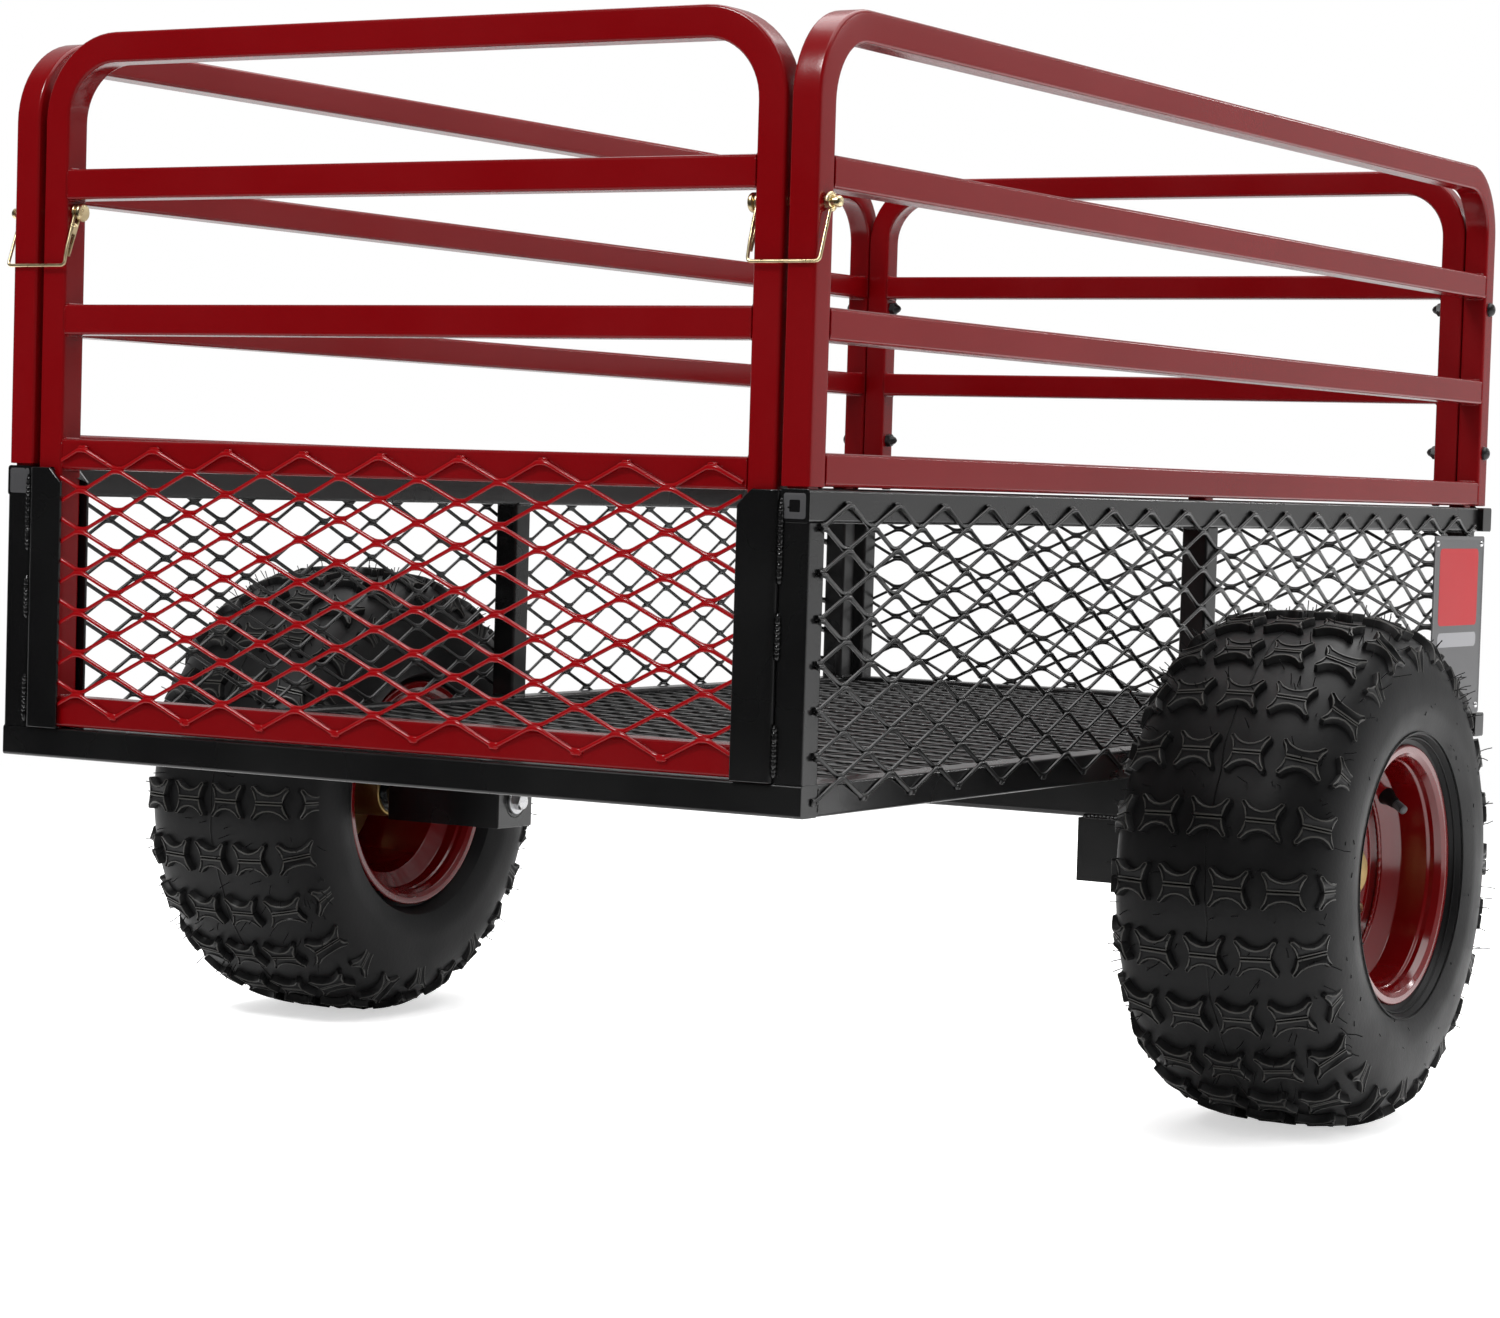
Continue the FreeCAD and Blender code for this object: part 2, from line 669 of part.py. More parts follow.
def support_leg():
    # Square leg that leans forward to its foot plate, whose heel is short so that it folds.
    size = d["leg_size"]
    wall = d["leg_wall"]
    pivot = d["pivot_height"]
    drop = round((pivot - d["foot_thick"]) / math.cos(math.radians(d["leg_lean"])), 3)
    length = repr(drop) + " + leg_head"
    outer = box(("leg_size", "leg_size", length), (-size / 2, -size / 2, -drop))
    inner = box(("leg_size - 2 * leg_wall", "leg_size - 2 * leg_wall", length),
                (wall - size / 2, wall - size / 2, -drop))
    eye = rod("leg_pin + running_gap", "leg_size + 10", (0, -size / 2 - 5, 0), "y")
    post = drill(outer, [inner, eye])
    post.Placement = Placement(Vector(leg_x, 0, pivot), Rotation(Vector(0, 1, 0), -d["leg_lean"]))
    foot_x = leg_x + math.tan(math.radians(d["leg_lean"])) * pivot
    foot_corner = (foot_x - d["foot_heel"], -d["foot_size"] / 2, 0)
    plate = box(("foot_size", "foot_size", "foot_thick"), foot_corner)
    below = box(("foot_size", "foot_size", "foot_size"),
                (foot_corner[0], foot_corner[1], d["foot_thick"] - d["foot_size"]))
    keep(join([drill(post, [below]), plate]), "support_leg")


def revolved(name, profile, centre_y, flip):
    # A body turned about the wheel axis. profile: (y, radius) points, y outboard.
    body = doc.addObject("PartDesign::Body", name)
    sketch = body.newObject("Sketcher::SketchObject", name + "_profile")
    plane = [f for f in body.Origin.OriginFeatures if f.Role == "XY_Plane"][0]
    sketch.AttachmentSupport = [(plane, "")]
    sketch.MapMode = "FlatFace"
    points = [Vector(r, y, 0) for y, r in profile]
    for a, b in zip(points, points[1:] + points[:1]):
        sketch.addGeometry(Part.LineSegment(a, b), False)
    turned = body.newObject("PartDesign::Revolution", name + "_turned")
    turned.Profile = sketch
    turned.ReferenceAxis = (sketch, ["V_Axis"])
    turned.Angle = 360.0
    spin = Rotation(Vector(0, 0, 1), 180) if flip else Rotation()
    body.Placement = Placement(Vector(axle_x, centre_y, axle_z), spin)
    return body


def tyre_profile():
    # Closed section of a low-pressure flotation tyre, outer skin then inner skin.
    half_w = d["tyre_width"] / 2
    top = d["tyre_radius"]
    bead = d["bead_radius"] + 0.2
    seat = d["rim_width"] / 2 - d["rim_gauge"] - 1.0
    over_flange = d["rim_flange"] - bead + 2.0
    lip = [(seat, bead), (seat, bead + over_flange), (seat + 6, bead + over_flange + 3)]
    outer = [(-y, r) for y, r in lip]
    for k in range(0, 13):
        a = math.pi * (1 - k / 12.0)
        y = half_w * math.copysign(abs(math.cos(a)) ** 0.62, math.cos(a))
        r = bead + 26 + (top - bead - 26) * math.sin(a) ** 0.55
        outer.append((y, r))
    outer += lip[::-1]
    wall = 9.0
    inner = [(seat - wall, bead), (seat - wall, bead + over_flange + 4)]
    for k in range(12, -1, -1):
        a = math.pi * (1 - k / 12.0)
        y = (half_w - wall) * math.copysign(abs(math.cos(a)) ** 0.62, math.cos(a))
        r = bead + 28 + (top - wall * 2 - bead - 28) * math.sin(a) ** 0.55
        inner.append((y, r))
    inner += [(wall - seat, bead + over_flange + 4), (wall - seat, bead)]
    return outer + inner


def rim_profile():
    # Pressed steel rim: two flanges, two bead seats and a drop centre.
    w = d["rim_width"] / 2
    g = d["rim_gauge"]
    seat = d["bead_radius"]
    flange = d["rim_flange"]
    well = seat - 16.0
    outer = [(-w, flange), (-w + g, flange), (-w + g, seat), (-w + 26, seat), (-w + 36, well),
             (w - 51, well), (w - 39, seat), (w - g, seat), (w - g, flange), (w, flange)]
    inner = [(w, seat - g), (w - 38, seat - g), (w - 50, well - g),
             (-w + 35, well - g), (-w + 25, seat - g), (-w, seat - g)]
    return outer + inner


def stud_places():
    # X and Z of the wheel studs from the axle's centre.
    turns = [math.pi / 4 + k * math.pi / 2 for k in range(4)]
    return [(d["stud_circle"] * math.cos(a), d["stud_circle"] * math.sin(a)) for a in turns]


def on_disc(side, start, length):
    # Lowest Y of a piece that runs outboard from `start`, measured from the disc's inner face.
    return beyond(side, d["wheel_gap"] + d["disc_offset"] + start, length)


def disc_rod(radius, side, start, length, u, v, name="Rod"):
    return rod(radius, repr(float(length)), (axle_x + u, on_disc(side, start, length), axle_z + v), "y", name)


def valve_rod(radius, side, start, length, name="Rod"):
    # Stands square on the sloping outboard wall of the drop centre, pointing out and at the axle.
    slope_y = d["wheel_gap"] + d["rim_width"] / 2 - 45.0
    slope_r = d["bead_radius"] - 8.0
    angle = math.radians(d["valve_angle"])
    around = Vector(math.cos(angle), 0, math.sin(angle))
    out = Vector(0, side, 0)
    along = (out * 16.0 - around * 12.0).normalize()
    foot = Vector(axle_x, 0, axle_z) + around * slope_r + out * (half + slope_y) + along * start
    piece = rod(radius, repr(float(length)), (0, 0, 0), "z", name)
    piece.Placement = Placement(foot, Rotation(Vector(0, 0, 1), along))
    return piece


def rim(name, side):
    # Barrel and dished disc, with stud holes in the disc and the valve hole in the barrel.
    centre = side * d["wheel_centre"]
    disc = d["disc_offset"]
    g = d["rim_gauge"]
    well = d["bead_radius"] - 16.0 - g
    barrel = revolved("Barrel", rim_profile(), centre, side < 0)
    dish = revolved("Disc", [(disc, 40), (disc + g, 40), (disc + g, 74), (disc + 12, well),
                             (disc + 12, well + 1), (disc - 2, well + 1), (disc, 76)], centre, side < 0)
    holes = [disc_rod("stud_radius + 0.4", side, -20, 40, u, v) for u, v in stud_places()]
    holes.append(valve_rod("valve_radius + 0.1", side, -10, 20))
    keep(drill(join([barrel, dish]), holes), "rim_" + name)


def hub(name, side):
    # Turned hub with a scalloped flange, four studs, two bearings and a pressed dust cap.
    bore = d["bearing_radius"]
    hub_r = d["hub_radius"]
    face = side * (d["wheel_centre"] + d["disc_offset"])
    inner = 73.0 - d["wheel_gap"] - d["disc_offset"]
    nose = 12.0
    deep = 18.0
    body = revolved("Hub", [(inner, bore), (inner, hub_r), (-8, hub_r), (-8, d["hub_flange"]),
                            (0, d["hub_flange"]), (0, 39), (nose, 36), (nose, bore),
                            (nose - deep, bore), (nose - deep, bore - 4), (inner + deep, bore - 4),
                            (inner + deep, bore)], face, side < 0)
    quarter = [(d["scallop_circle"] * math.cos(a), d["scallop_circle"] * math.sin(a))
               for a in (k * math.pi / 2 for k in range(4))]
    scallops = [disc_rod("10", side, -9, 10, u, v, "Scallop") for u, v in quarter]
    studs = [disc_rod("stud_radius", side, -8, 22, u, v, "Stud") for u, v in stud_places()]
    keep(join([drill(body, scallops)] + studs), "hub_" + name)
    bearings = []
    for start in (nose - deep + 0.5, inner + 2.5):
        ring = disc_rod("bearing_radius", side, start, d["bearing_wide"], 0, 0)
        bore_tool = disc_rod("spindle_radius + running_gap", side, start, d["bearing_wide"], 0, 0)
        bearings.append(cut(ring, bore_tool))
    keep(group(bearings), "bearings_" + name)
    cap = revolved("Cap", [(nose, 25), (nose, 31), (nose + 3, 31), (nose + 11, 25), (nose + 17, 15),
                           (nose + 18, 0), (nose + 15.5, 0), (nose + 15, 14), (nose + 9, 23)],
                   face, side < 0)
    keep(cap, "dust_cap_" + name)


def wheel_fittings(name, side):
    # Four lug nuts on the studs and the rubber valve stem through the barrel.
    nuts = []
    for u, v in stud_places():
        nut = disc_rod("stud_radius + 4", side, d["rim_gauge"], 9, u, v, "Nut")
        nuts.append(cut(nut, disc_rod("stud_radius", side, d["rim_gauge"], 9, u, v)))
    keep(group(nuts), "lug_nuts_" + name)
    stem = valve_rod("valve_radius", side, -3, 33, "Stem")
    foot = valve_rod("valve_radius + 3", side, -3, 3, "Foot")
    keep(join([stem, foot]), "valve_stem_" + name)


def wheel(name, side):
    keep(revolved("Tyre", tyre_profile(), side * d["wheel_centre"], side < 0), "tyre_" + name)
    rim(name, side)
    hub(name, side)
    wheel_fittings(name, side)


bottom_frame()
front_frame()
side_frames()
rail_plugs()
gate_guides()
bed_meshes()
badge_plate()
racks()
tailgate()
rack_fasteners()
lock_pins()
axle()
axle_nuts()
drawbar()
fork()
leg_bracket()
support_leg()
for side_name, side_sign in sides:
    stub_axle(side_name, side_sign)
    wire_bail(side_name, side_sign)
    wheel(side_name, side_sign)
doc.recompute()

for obj in doc.Objects:
    if "Invalid" in obj.State or "Error" in obj.State:
        raise RuntimeError("failed feature: " + obj.Name + " " + obj.Label)
for obj in nodes:
    if obj.Shape.isNull() or not obj.Shape.isValid() or not obj.Shape.Solids:
        raise RuntimeError("bad shape: " + obj.Label)
os.makedirs("parts", exist_ok=True)
for obj in nodes:
    obj.Shape.exportStep("parts/" + obj.Label + ".step")
whole = FreeCAD.BoundBox()
for obj in nodes:
    whole.add(obj.Shape.BoundBox)
print(len(nodes), "sub-parts, box", whole)
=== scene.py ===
import math
import random

import bmesh
import bpy
from mathutils import Matrix, Vector


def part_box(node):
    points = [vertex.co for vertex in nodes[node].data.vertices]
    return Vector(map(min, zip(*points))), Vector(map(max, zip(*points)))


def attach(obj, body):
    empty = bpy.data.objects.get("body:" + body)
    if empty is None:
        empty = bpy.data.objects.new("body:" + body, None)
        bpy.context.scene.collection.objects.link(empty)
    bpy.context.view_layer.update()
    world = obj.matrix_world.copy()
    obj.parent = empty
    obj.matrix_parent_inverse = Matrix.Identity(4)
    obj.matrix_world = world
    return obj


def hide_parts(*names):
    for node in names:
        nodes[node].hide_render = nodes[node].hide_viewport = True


# Small two-wheel utility trailer: black mesh bed, red stake racks and tailgate.
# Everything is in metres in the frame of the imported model.

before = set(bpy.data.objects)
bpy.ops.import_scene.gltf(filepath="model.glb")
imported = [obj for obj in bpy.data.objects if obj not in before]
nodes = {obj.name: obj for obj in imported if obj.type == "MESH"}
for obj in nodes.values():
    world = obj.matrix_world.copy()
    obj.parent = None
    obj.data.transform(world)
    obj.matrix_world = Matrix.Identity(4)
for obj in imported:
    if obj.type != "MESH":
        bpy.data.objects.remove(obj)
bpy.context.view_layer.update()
random.seed(11)

mm = 0.001
xAxis = Vector((1, 0, 0))
yAxis = Vector((0, 1, 0))
zAxis = Vector((0, 0, 1))
sides = (("left", 1), ("right", -1))

rearLow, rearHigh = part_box("rear_rail")
tube = rearHigh.x - rearLow.x
bedRear = rearLow.x
deck = rearLow.z
halfWide = rearHigh.y
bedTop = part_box("top_rail_left")[1].z
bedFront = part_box("front_rail_bottom")[0].x
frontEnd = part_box("front_rail_bottom")[1].x
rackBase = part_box("rack_front")[0].z
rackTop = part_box("rack_front")[1].z


def outline(width, height, corner, steps=4, cuts=0):
    # rounded rectangle about the origin, with extra points along its flats
    points = []
    spots = ((1, 1), (-1, 1), (-1, -1), (1, -1))
    for k, (sx, sy) in enumerate(spots):
        centre = Vector((sx * (width / 2 - corner), sy * (height / 2 - corner)))
        for i in range(steps + 1):
            a = math.radians(90 * k + 90 * i / steps)
            points.append(centre + Vector((math.cos(a), math.sin(a))) * corner)
        nx, ny = spots[(k + 1) % 4]
        after = Vector((nx * (width / 2 - corner), ny * (height / 2 - corner)))
        turn = math.radians(90 * (k + 1))
        after += Vector((math.cos(turn), math.sin(turn))) * corner
        last = points[-1]
        points += [last.lerp(after, (c + 1) / (cuts + 1)) for c in range(cuts)]
    return points


def circleOutline(radius, sides=10):
    turn = math.tau / sides
    return [Vector((math.cos(turn * k), math.sin(turn * k))) * radius for k in range(sides)]


def roundCorners(points, radius, steps=5, closed=False):
    # every corner of a flat line turned into an arc
    points = [Vector(p) for p in points]
    count = len(points)
    result = []
    for i, p in enumerate(points):
        if not closed and i in (0, count - 1):
            result.append(p)
            continue
        a = points[i - 1] - p
        b = points[(i + 1) % count] - p
        half = a.angle(b) / 2
        if half > math.pi / 2 - 0.02:
            result.append(p)
            continue
        back = min(radius / math.tan(half), a.length * 0.49, b.length * 0.49)
        r = back * math.tan(half)
        a.normalize()
        b.normalize()
        centre = p + (a + b).normalized() * (r / math.sin(half))
        start = p + a * back - centre
        end = p + b * back - centre
        for k in range(steps + 1):
            result.append(centre + start.slerp(end, k / steps).normalized() * r)
    return result


def addRing(bm, centre, across, upward, profile, scale=1.0):
    return [bm.verts.new(centre + across * (p[0] * scale) + upward * (p[1] * scale)) for p in profile]


def bridge(bm, first, second):
    count = len(first)
    pairs = [(i, (i + 1) % count) for i in range(count)]
    return [bm.faces.new((first[i], first[j], second[j], second[i])) for i, j in pairs]


def skinRings(bm, rings, capped=True):
    for first, second in zip(rings, rings[1:]):
        bridge(bm, first, second)
    if capped:
        bm.faces.new(rings[0])
        bm.faces.new(rings[-1])


def closeEnd(bm, ring, outward, style):
    # an open tube end with its wall and a dark inside, or a flat end with softened edges
    wall, depth, soften = 2 * mm, 60 * mm, 0.7 * mm
    centre = sum((v.co for v in ring), Vector()) / len(ring)
    size = max((v.co - centre).length for v in ring)
    if style == "open":
        shrink = 1 - 1.35 * wall / size
        lip = [bm.verts.new(centre + (v.co - centre) * shrink) for v in ring]
        floor = [bm.verts.new(v.co - outward * depth) for v in lip]
        bridge(bm, ring, lip)
        bridge(bm, lip, floor)
        bm.faces.new(floor)
        return
    soft = min(soften, size * 0.25)
    inner = [bm.verts.new(centre + (v.co - centre) * (1 - soft / size) + outward * soft * 0.5) for v in ring]
    bridge(bm, ring, inner)
    bm.faces.new(inner)


def closeTube(bm, path, rings, ends):
    skinRings(bm, rings, False)
    if ends:
        closeEnd(bm, rings[0], (path[0] - path[1]).normalized(), ends)
        closeEnd(bm, rings[-1], (path[-1] - path[-2]).normalized(), ends)


def tangentAt(path, i):
    back = (path[i] - path[max(i - 1, 0)]).normalized()
    ahead = (path[min(i + 1, len(path) - 1)] - path[i]).normalized()
    return (back + ahead).normalized()


def sweep(bm, path, profile, across, ends="flat", scales=None, bendInside=None):
    # carries a profile along a line that lies in the plane across `across`
    rings = []
    for i, point in enumerate(path):
        upward = tangentAt(path, i).cross(across).normalized()
        ring = addRing(bm, point, across, upward, profile, scales[i] if scales else 1.0)
        if bendInside:
            bendInside(i, ring, point, upward)
        rings.append(ring)
    closeTube(bm, path, rings, ends)


def wire(bm, path, radius, sides=10, ends="flat", scales=None):
    # round wire along any line, its frame carried from point to point
    profile = circleOutline(radius, sides)
    across = (path[1] - path[0]).orthogonal().normalized()
    rings = []
    for i, point in enumerate(path):
        tangent = tangentAt(path, i)
        across = (across - tangent * across.dot(tangent)).normalized()
        rings.append(addRing(bm, point, across, tangent.cross(across), profile, scales[i] if scales else 1.0))
    closeTube(bm, path, rings, ends)


def smoothLine(points, radius, steps=6):
    # 3-D polyline with rounded corners
    points = [Vector(p) for p in points]
    result = [points[0]]
    for before, p, after in zip(points, points[1:], points[2:]):
        a = before - p
        b = after - p
        back = min(radius, a.length * 0.49, b.length * 0.49)
        start = p + a.normalized() * back
        end = p + b.normalized() * back
        for k in range(steps + 1):
            t = k / steps
            result.append(start * (1 - t) ** 2 + p * (2 * t * (1 - t)) + end * t ** 2)
    result.append(points[-1])
    return result


def revolve(bm, profile, centre, outboard, segments=64, closed=False):
    # profile of (distance outboard, radius) pairs turned about a line along Y
    rings = []
    for along, radius in profile:
        spot = centre + yAxis * (outboard * along)
        if radius < 1e-6:
            rings.append([bm.verts.new(spot)])
            continue
        ring = []
        for k in range(segments):
            a = math.tau * k / segments
            ring.append(bm.verts.new(spot + Vector((math.cos(a), 0, math.sin(a))) * radius))
        rings.append(ring)
    pairs = list(zip(rings, rings[1:]))
    if closed:
        pairs.append((rings[-1], rings[0]))
    for first, second in pairs:
        if len(first) == 1 or len(second) == 1:
            tip, ring = (first[0], second) if len(first) == 1 else (second[0], first)
            for i in range(segments):
                bm.faces.new((tip, ring[i], ring[(i + 1) % segments]))
        else:
            bridge(bm, first, second)


def inSteps(start, end, steps=6):
    return [start.lerp(end, k / steps) for k in range(steps + 1)]


def straightTube(bm, low, high, corner=2.6 * mm, ends="flat"):
    # a rounded rectangular bar that fills a box along its longest side
    size = high - low
    axis = max(range(3), key=lambda k: size[k])
    direction = (xAxis, yAxis, zAxis)[axis]
    across = (yAxis, zAxis, xAxis)[axis]
    upward = direction.cross(across)
    width = abs(size.dot(across))
    height = abs(size.dot(upward))
    middle = (low + high) / 2
    reach = direction * (size[axis] / 2)
    path = inSteps(middle - reach, middle + reach)
    sweep(bm, path, outline(width, height, min(corner, width / 3, height / 3)), across, ends)


def weldBead(bm, start, end, radius, bulge=0.22):
    # a short rippled bead, thinner at both ends
    pace, ripplePitch, shiver = 0.8 * mm, 1.9 * mm, 0.12
    length = (end - start).length
    steps = max(8, int(length / pace))
    path = []
    scales = []
    shake = (end - start).orthogonal().normalized()
    for k in range(steps + 1):
        t = k / steps
        wobble = random.uniform(-shiver, shiver) * radius
        path.append(start.lerp(end, t) + shake * wobble)
        ripple = 1 - bulge + bulge * abs(math.sin(t * length / ripplePitch * math.pi / 2))
        scales.append(ripple * min(1.0, 0.55 + 5 * min(t, 1 - t)))
    wire(bm, path, radius, 8, scales=scales)


def hexNut(bm, centre, outward, acrossFlats, height, bore=0.0):
    # hexagon with a turned chamfer on its outer face
    side = outward.orthogonal().normalized()
    other = outward.cross(side)
    count = 36
    flat = acrossFlats / 2
    turns = [math.tau * k / count for k in range(count)]
    spokes = [side * math.cos(a) + other * math.sin(a) for a in turns]
    hexagon = [flat / math.cos((a + math.pi / 6) % (math.pi / 3) - math.pi / 6) for a in turns]
    rings = [[bm.verts.new(centre + spoke * reach) for spoke, reach in zip(spokes, hexagon)]]
    ring = []
    for spoke, reach in zip(spokes, hexagon):
        drop = (reach - flat) * 0.9 + 0.02 * height
        ring.append(bm.verts.new(centre + outward * (height - drop) + spoke * reach))
    rings.append(ring)
    rings.append([bm.verts.new(centre + outward * height + spoke * (flat * 0.93)) for spoke in spokes])
    for lift in ((height, height * 0.55) if bore else ()):
        rings.append([bm.verts.new(centre + outward * lift + spoke * bore) for spoke in spokes])
    skinRings(bm, rings)


def islandBoxes(node):
    # (lowest, highest) corner of each separate solid in a node
    bm = bmesh.new()
    bm.from_mesh(nodes[node].data)
    bmesh.ops.remove_doubles(bm, verts=bm.verts, dist=1e-5)
    left = set(bm.verts)
    boxes = []
    while left:
        stack = [left.pop()]
        seen = list(stack)
        while stack:
            v = stack.pop()
            for edge in v.link_edges:
                w = edge.other_vert(v)
                if w in left:
                    left.remove(w)
                    stack.append(w)
                    seen.append(w)
        low = Vector(min(v.co[k] for v in seen) for k in range(3))
        high = Vector(max(v.co[k] for v in seen) for k in range(3))
        boxes.append((low, high))
    bm.free()
    return sorted(boxes, key=lambda b: (round(b[0].y, 4), round(b[0].z, 4), round(b[0].x, 4)))


def finishPiece(name, bm, finish, body, replaces=(), angle=38, bevel=0.0, weighted=True):
    bmesh.ops.recalc_face_normals(bm, faces=bm.faces)
    mesh = bpy.data.meshes.new(name)
    bm.to_mesh(mesh)
    bm.free()
    mesh.materials.append(finishes[finish])
    mesh.polygons.foreach_set("use_smooth", [True] * len(mesh.polygons))
    mesh.set_sharp_from_angle(angle=math.radians(angle))
    piece = bpy.data.objects.new(name, mesh)
    bpy.context.scene.collection.objects.link(piece)
    if bevel:
        softenEdges(piece, bevel, 35)
    if weighted:
        piece.modifiers.new("evenNormals", "WEIGHTED_NORMAL").keep_sharp = True
    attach(piece, body)
    if replaces:
        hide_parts(*replaces)
    return piece


def softenEdges(piece, width, angle):
    soft = piece.modifiers.new("softEdges", "BEVEL")
    soft.width = width
    soft.segments = 2
    soft.angle_limit = math.radians(angle)


# a colour Mix node's own sockets, by number
colourFirst, colourSecond, colourResult = 6, 7, 2


def addNode(tree, kind, sockets=None, **values):
    # sockets: what each input takes, a constant or another node's output
    made = tree.nodes.new(kind)
    for key, value in values.items():
        setattr(made, key, value)
    for key, value in (sockets or {}).items():
        if isinstance(value, bpy.types.NodeSocket):
            tree.links.new(value, made.inputs[key])
        else:
            made.inputs[key].default_value = value
    return made


def objectPlace(tree):
    return addNode(tree, "ShaderNodeTexCoord").outputs["Object"]


def splitVector(tree, vector):
    return addNode(tree, "ShaderNodeSeparateXYZ", {0: vector}).outputs


def noise(tree, place, scale, detail, **more):
    sockets = {"Vector": place, "Scale": scale, "Detail": detail, **more}
    return addNode(tree, "ShaderNodeTexNoise", sockets).outputs["Fac"]


def mathNode(tree, operation, first, second):
    return addNode(tree, "ShaderNodeMath", {0: first, 1: second}, operation=operation).outputs[0]


def mapRange(tree, value, source, target, kind="LINEAR"):
    sockets = {"Value": value, "From Min": source[0], "From Max": source[1], "To Min": target[0],
               "To Max": target[1]}
    return addNode(tree, "ShaderNodeMapRange", sockets, interpolation_type=kind).outputs[0]


def mixColours(tree, factor, first, second):
    # first and second: a colour or another node's output
    first, second = ((*c, 1.0) if isinstance(c, tuple) else c for c in (first, second))
    mix = addNode(tree, "ShaderNodeMix", data_type="RGBA",
                  sockets={"Factor": factor, colourFirst: first, colourSecond: second})
    return mix.outputs[colourResult]


def newGroup(name, inputs, outputs):
    group = bpy.data.node_groups.new(name, "ShaderNodeTree")
    for label, start in inputs:
        socket = group.interface.new_socket(label, in_out="INPUT", socket_type="NodeSocketFloat")
        socket.default_value = start
    for label in outputs:
        group.interface.new_socket(label, in_out="OUTPUT", socket_type="NodeSocketFloat")
    return group, addNode(group, "NodeGroupInput").outputs


def powderGrainGroup():
    # orange peel of baked powder paint, with a slow drift in its gloss and rare pale specks
    group, given = newGroup("powderGrain", (("Peel Scale", 900.0), ("Drift Scale", 9.0)),
                            ("Height", "Drift", "Speck"))
    speckSize, driftNeeded = 0.07, 0.62
    place = objectPlace(group)
    peel = noise(group, place, given["Peel Scale"], 2.0)
    drift = noise(group, place, given["Drift Scale"], 3.0)
    speck = addNode(group, "ShaderNodeTexVoronoi", {"Vector": place, "Scale": given["Peel Scale"]})
    small = mathNode(group, "LESS_THAN", speck.outputs["Distance"], speckSize)
    rare = mathNode(group, "GREATER_THAN", drift, driftNeeded)
    both = mathNode(group, "MULTIPLY", small, rare)
    addNode(group, "NodeGroupOutput", {"Height": peel, "Drift": drift, "Speck": both})
    return group


def dustGroup():
    # thin settled dust: more on faces that look up, broken by noise
    group, given = newGroup("settledDust", (("Amount", 0.2), ("Scale", 14.0)), ("Mask",))
    normal = addNode(group, "ShaderNodeNewGeometry").outputs["Normal"]
    facing = mapRange(group, splitVector(group, normal)["Z"], (-0.2, 1.0), (0.15, 1.0))
    cloud = noise(group, objectPlace(group), given["Scale"], 6.0, Roughness=0.65)
    patch = mapRange(group, cloud, (0.42, 0.75), (0.0, 1.0))
    product = mathNode(group, "MULTIPLY", facing, patch)
    scaled = mathNode(group, "MULTIPLY", product, given["Amount"])
    addNode(group, "NodeGroupOutput", {"Mask": scaled})
    return group


def platingGroup():
    # cloudy passivation with fine rolling lines
    group, given = newGroup("plating", (("Cloud Scale", 60.0), ("Line Scale", 400.0)), ("Cloud", "Height"))
    place = objectPlace(group)
    cloud = noise(group, place, given["Cloud Scale"], 4.0)
    stretched = addNode(group, "ShaderNodeMapping", {"Vector": place, "Scale": (1.0, 0.15, 1.0)}).outputs[0]
    lines = noise(group, stretched, given["Line Scale"], 2.0)
    addNode(group, "NodeGroupOutput", {"Cloud": cloud, "Height": lines})
    return group


powderGrain = powderGrainGroup()
settledDust = dustGroup()
plating = platingGroup()


def newMaterial(name):
    material = bpy.data.materials.new(name)
    material.use_nodes = True
    tree = material.node_tree
    return material, tree, tree.nodes["Principled BSDF"]


def placeGroup(tree, group, sockets):
    return addNode(tree, "ShaderNodeGroup", sockets, node_tree=group).outputs


def dressShader(tree, shader, colour, cloud, roughness, height, depth):
    # colour, a roughness that follows a cloud, and a fine bump
    tree.links.new(colour, shader.inputs["Base Color"])
    tree.links.new(mapRange(tree, cloud, (0.3, 0.7), roughness), shader.inputs["Roughness"])
    bump = addNode(tree, "ShaderNodeBump", {"Distance": depth, "Strength": 1.0, "Height": height})
    tree.links.new(bump.outputs["Normal"], shader.inputs["Normal"])


def powderPaint(name, look):
    # glossy baked paint over steel
    material, tree, shader = newMaterial(name)
    grain = placeGroup(tree, powderGrain, {"Peel Scale": look["peelScale"], "Drift Scale": 7.0})
    dust = placeGroup(tree, settledDust, {"Amount": look["dust"], "Scale": 11.0})
    drifted = mixColours(tree, grain["Drift"], look["deep"], look["lit"])
    specked = mixColours(tree, grain["Speck"], drifted, look["speck"])
    dusted = mixColours(tree, dust["Mask"], specked, look["dustColour"])
    dressShader(tree, shader, dusted, grain["Drift"], look["roughness"], grain["Height"], look["peelDepth"])
    shader.inputs["Specular IOR Level"].default_value = look["specular"]
    shader.inputs["Coat Weight"].default_value = look["coat"]
    shader.inputs["Coat Roughness"].default_value = 0.08
    return material


def platedMetal(name, look):
    # zinc plating or bare steel, cloudy in colour and gloss
    material, tree, shader = newMaterial(name)
    skin = placeGroup(tree, plating, {"Cloud Scale": look["cloud"], "Line Scale": 500.0})
    cloudy = mixColours(tree, skin["Cloud"], look["first"], look["second"])
    dressShader(tree, shader, cloudy, skin["Cloud"], look["roughness"], skin["Height"], 0.00004)
    shader.inputs["Metallic"].default_value = look["metallic"]
    return material


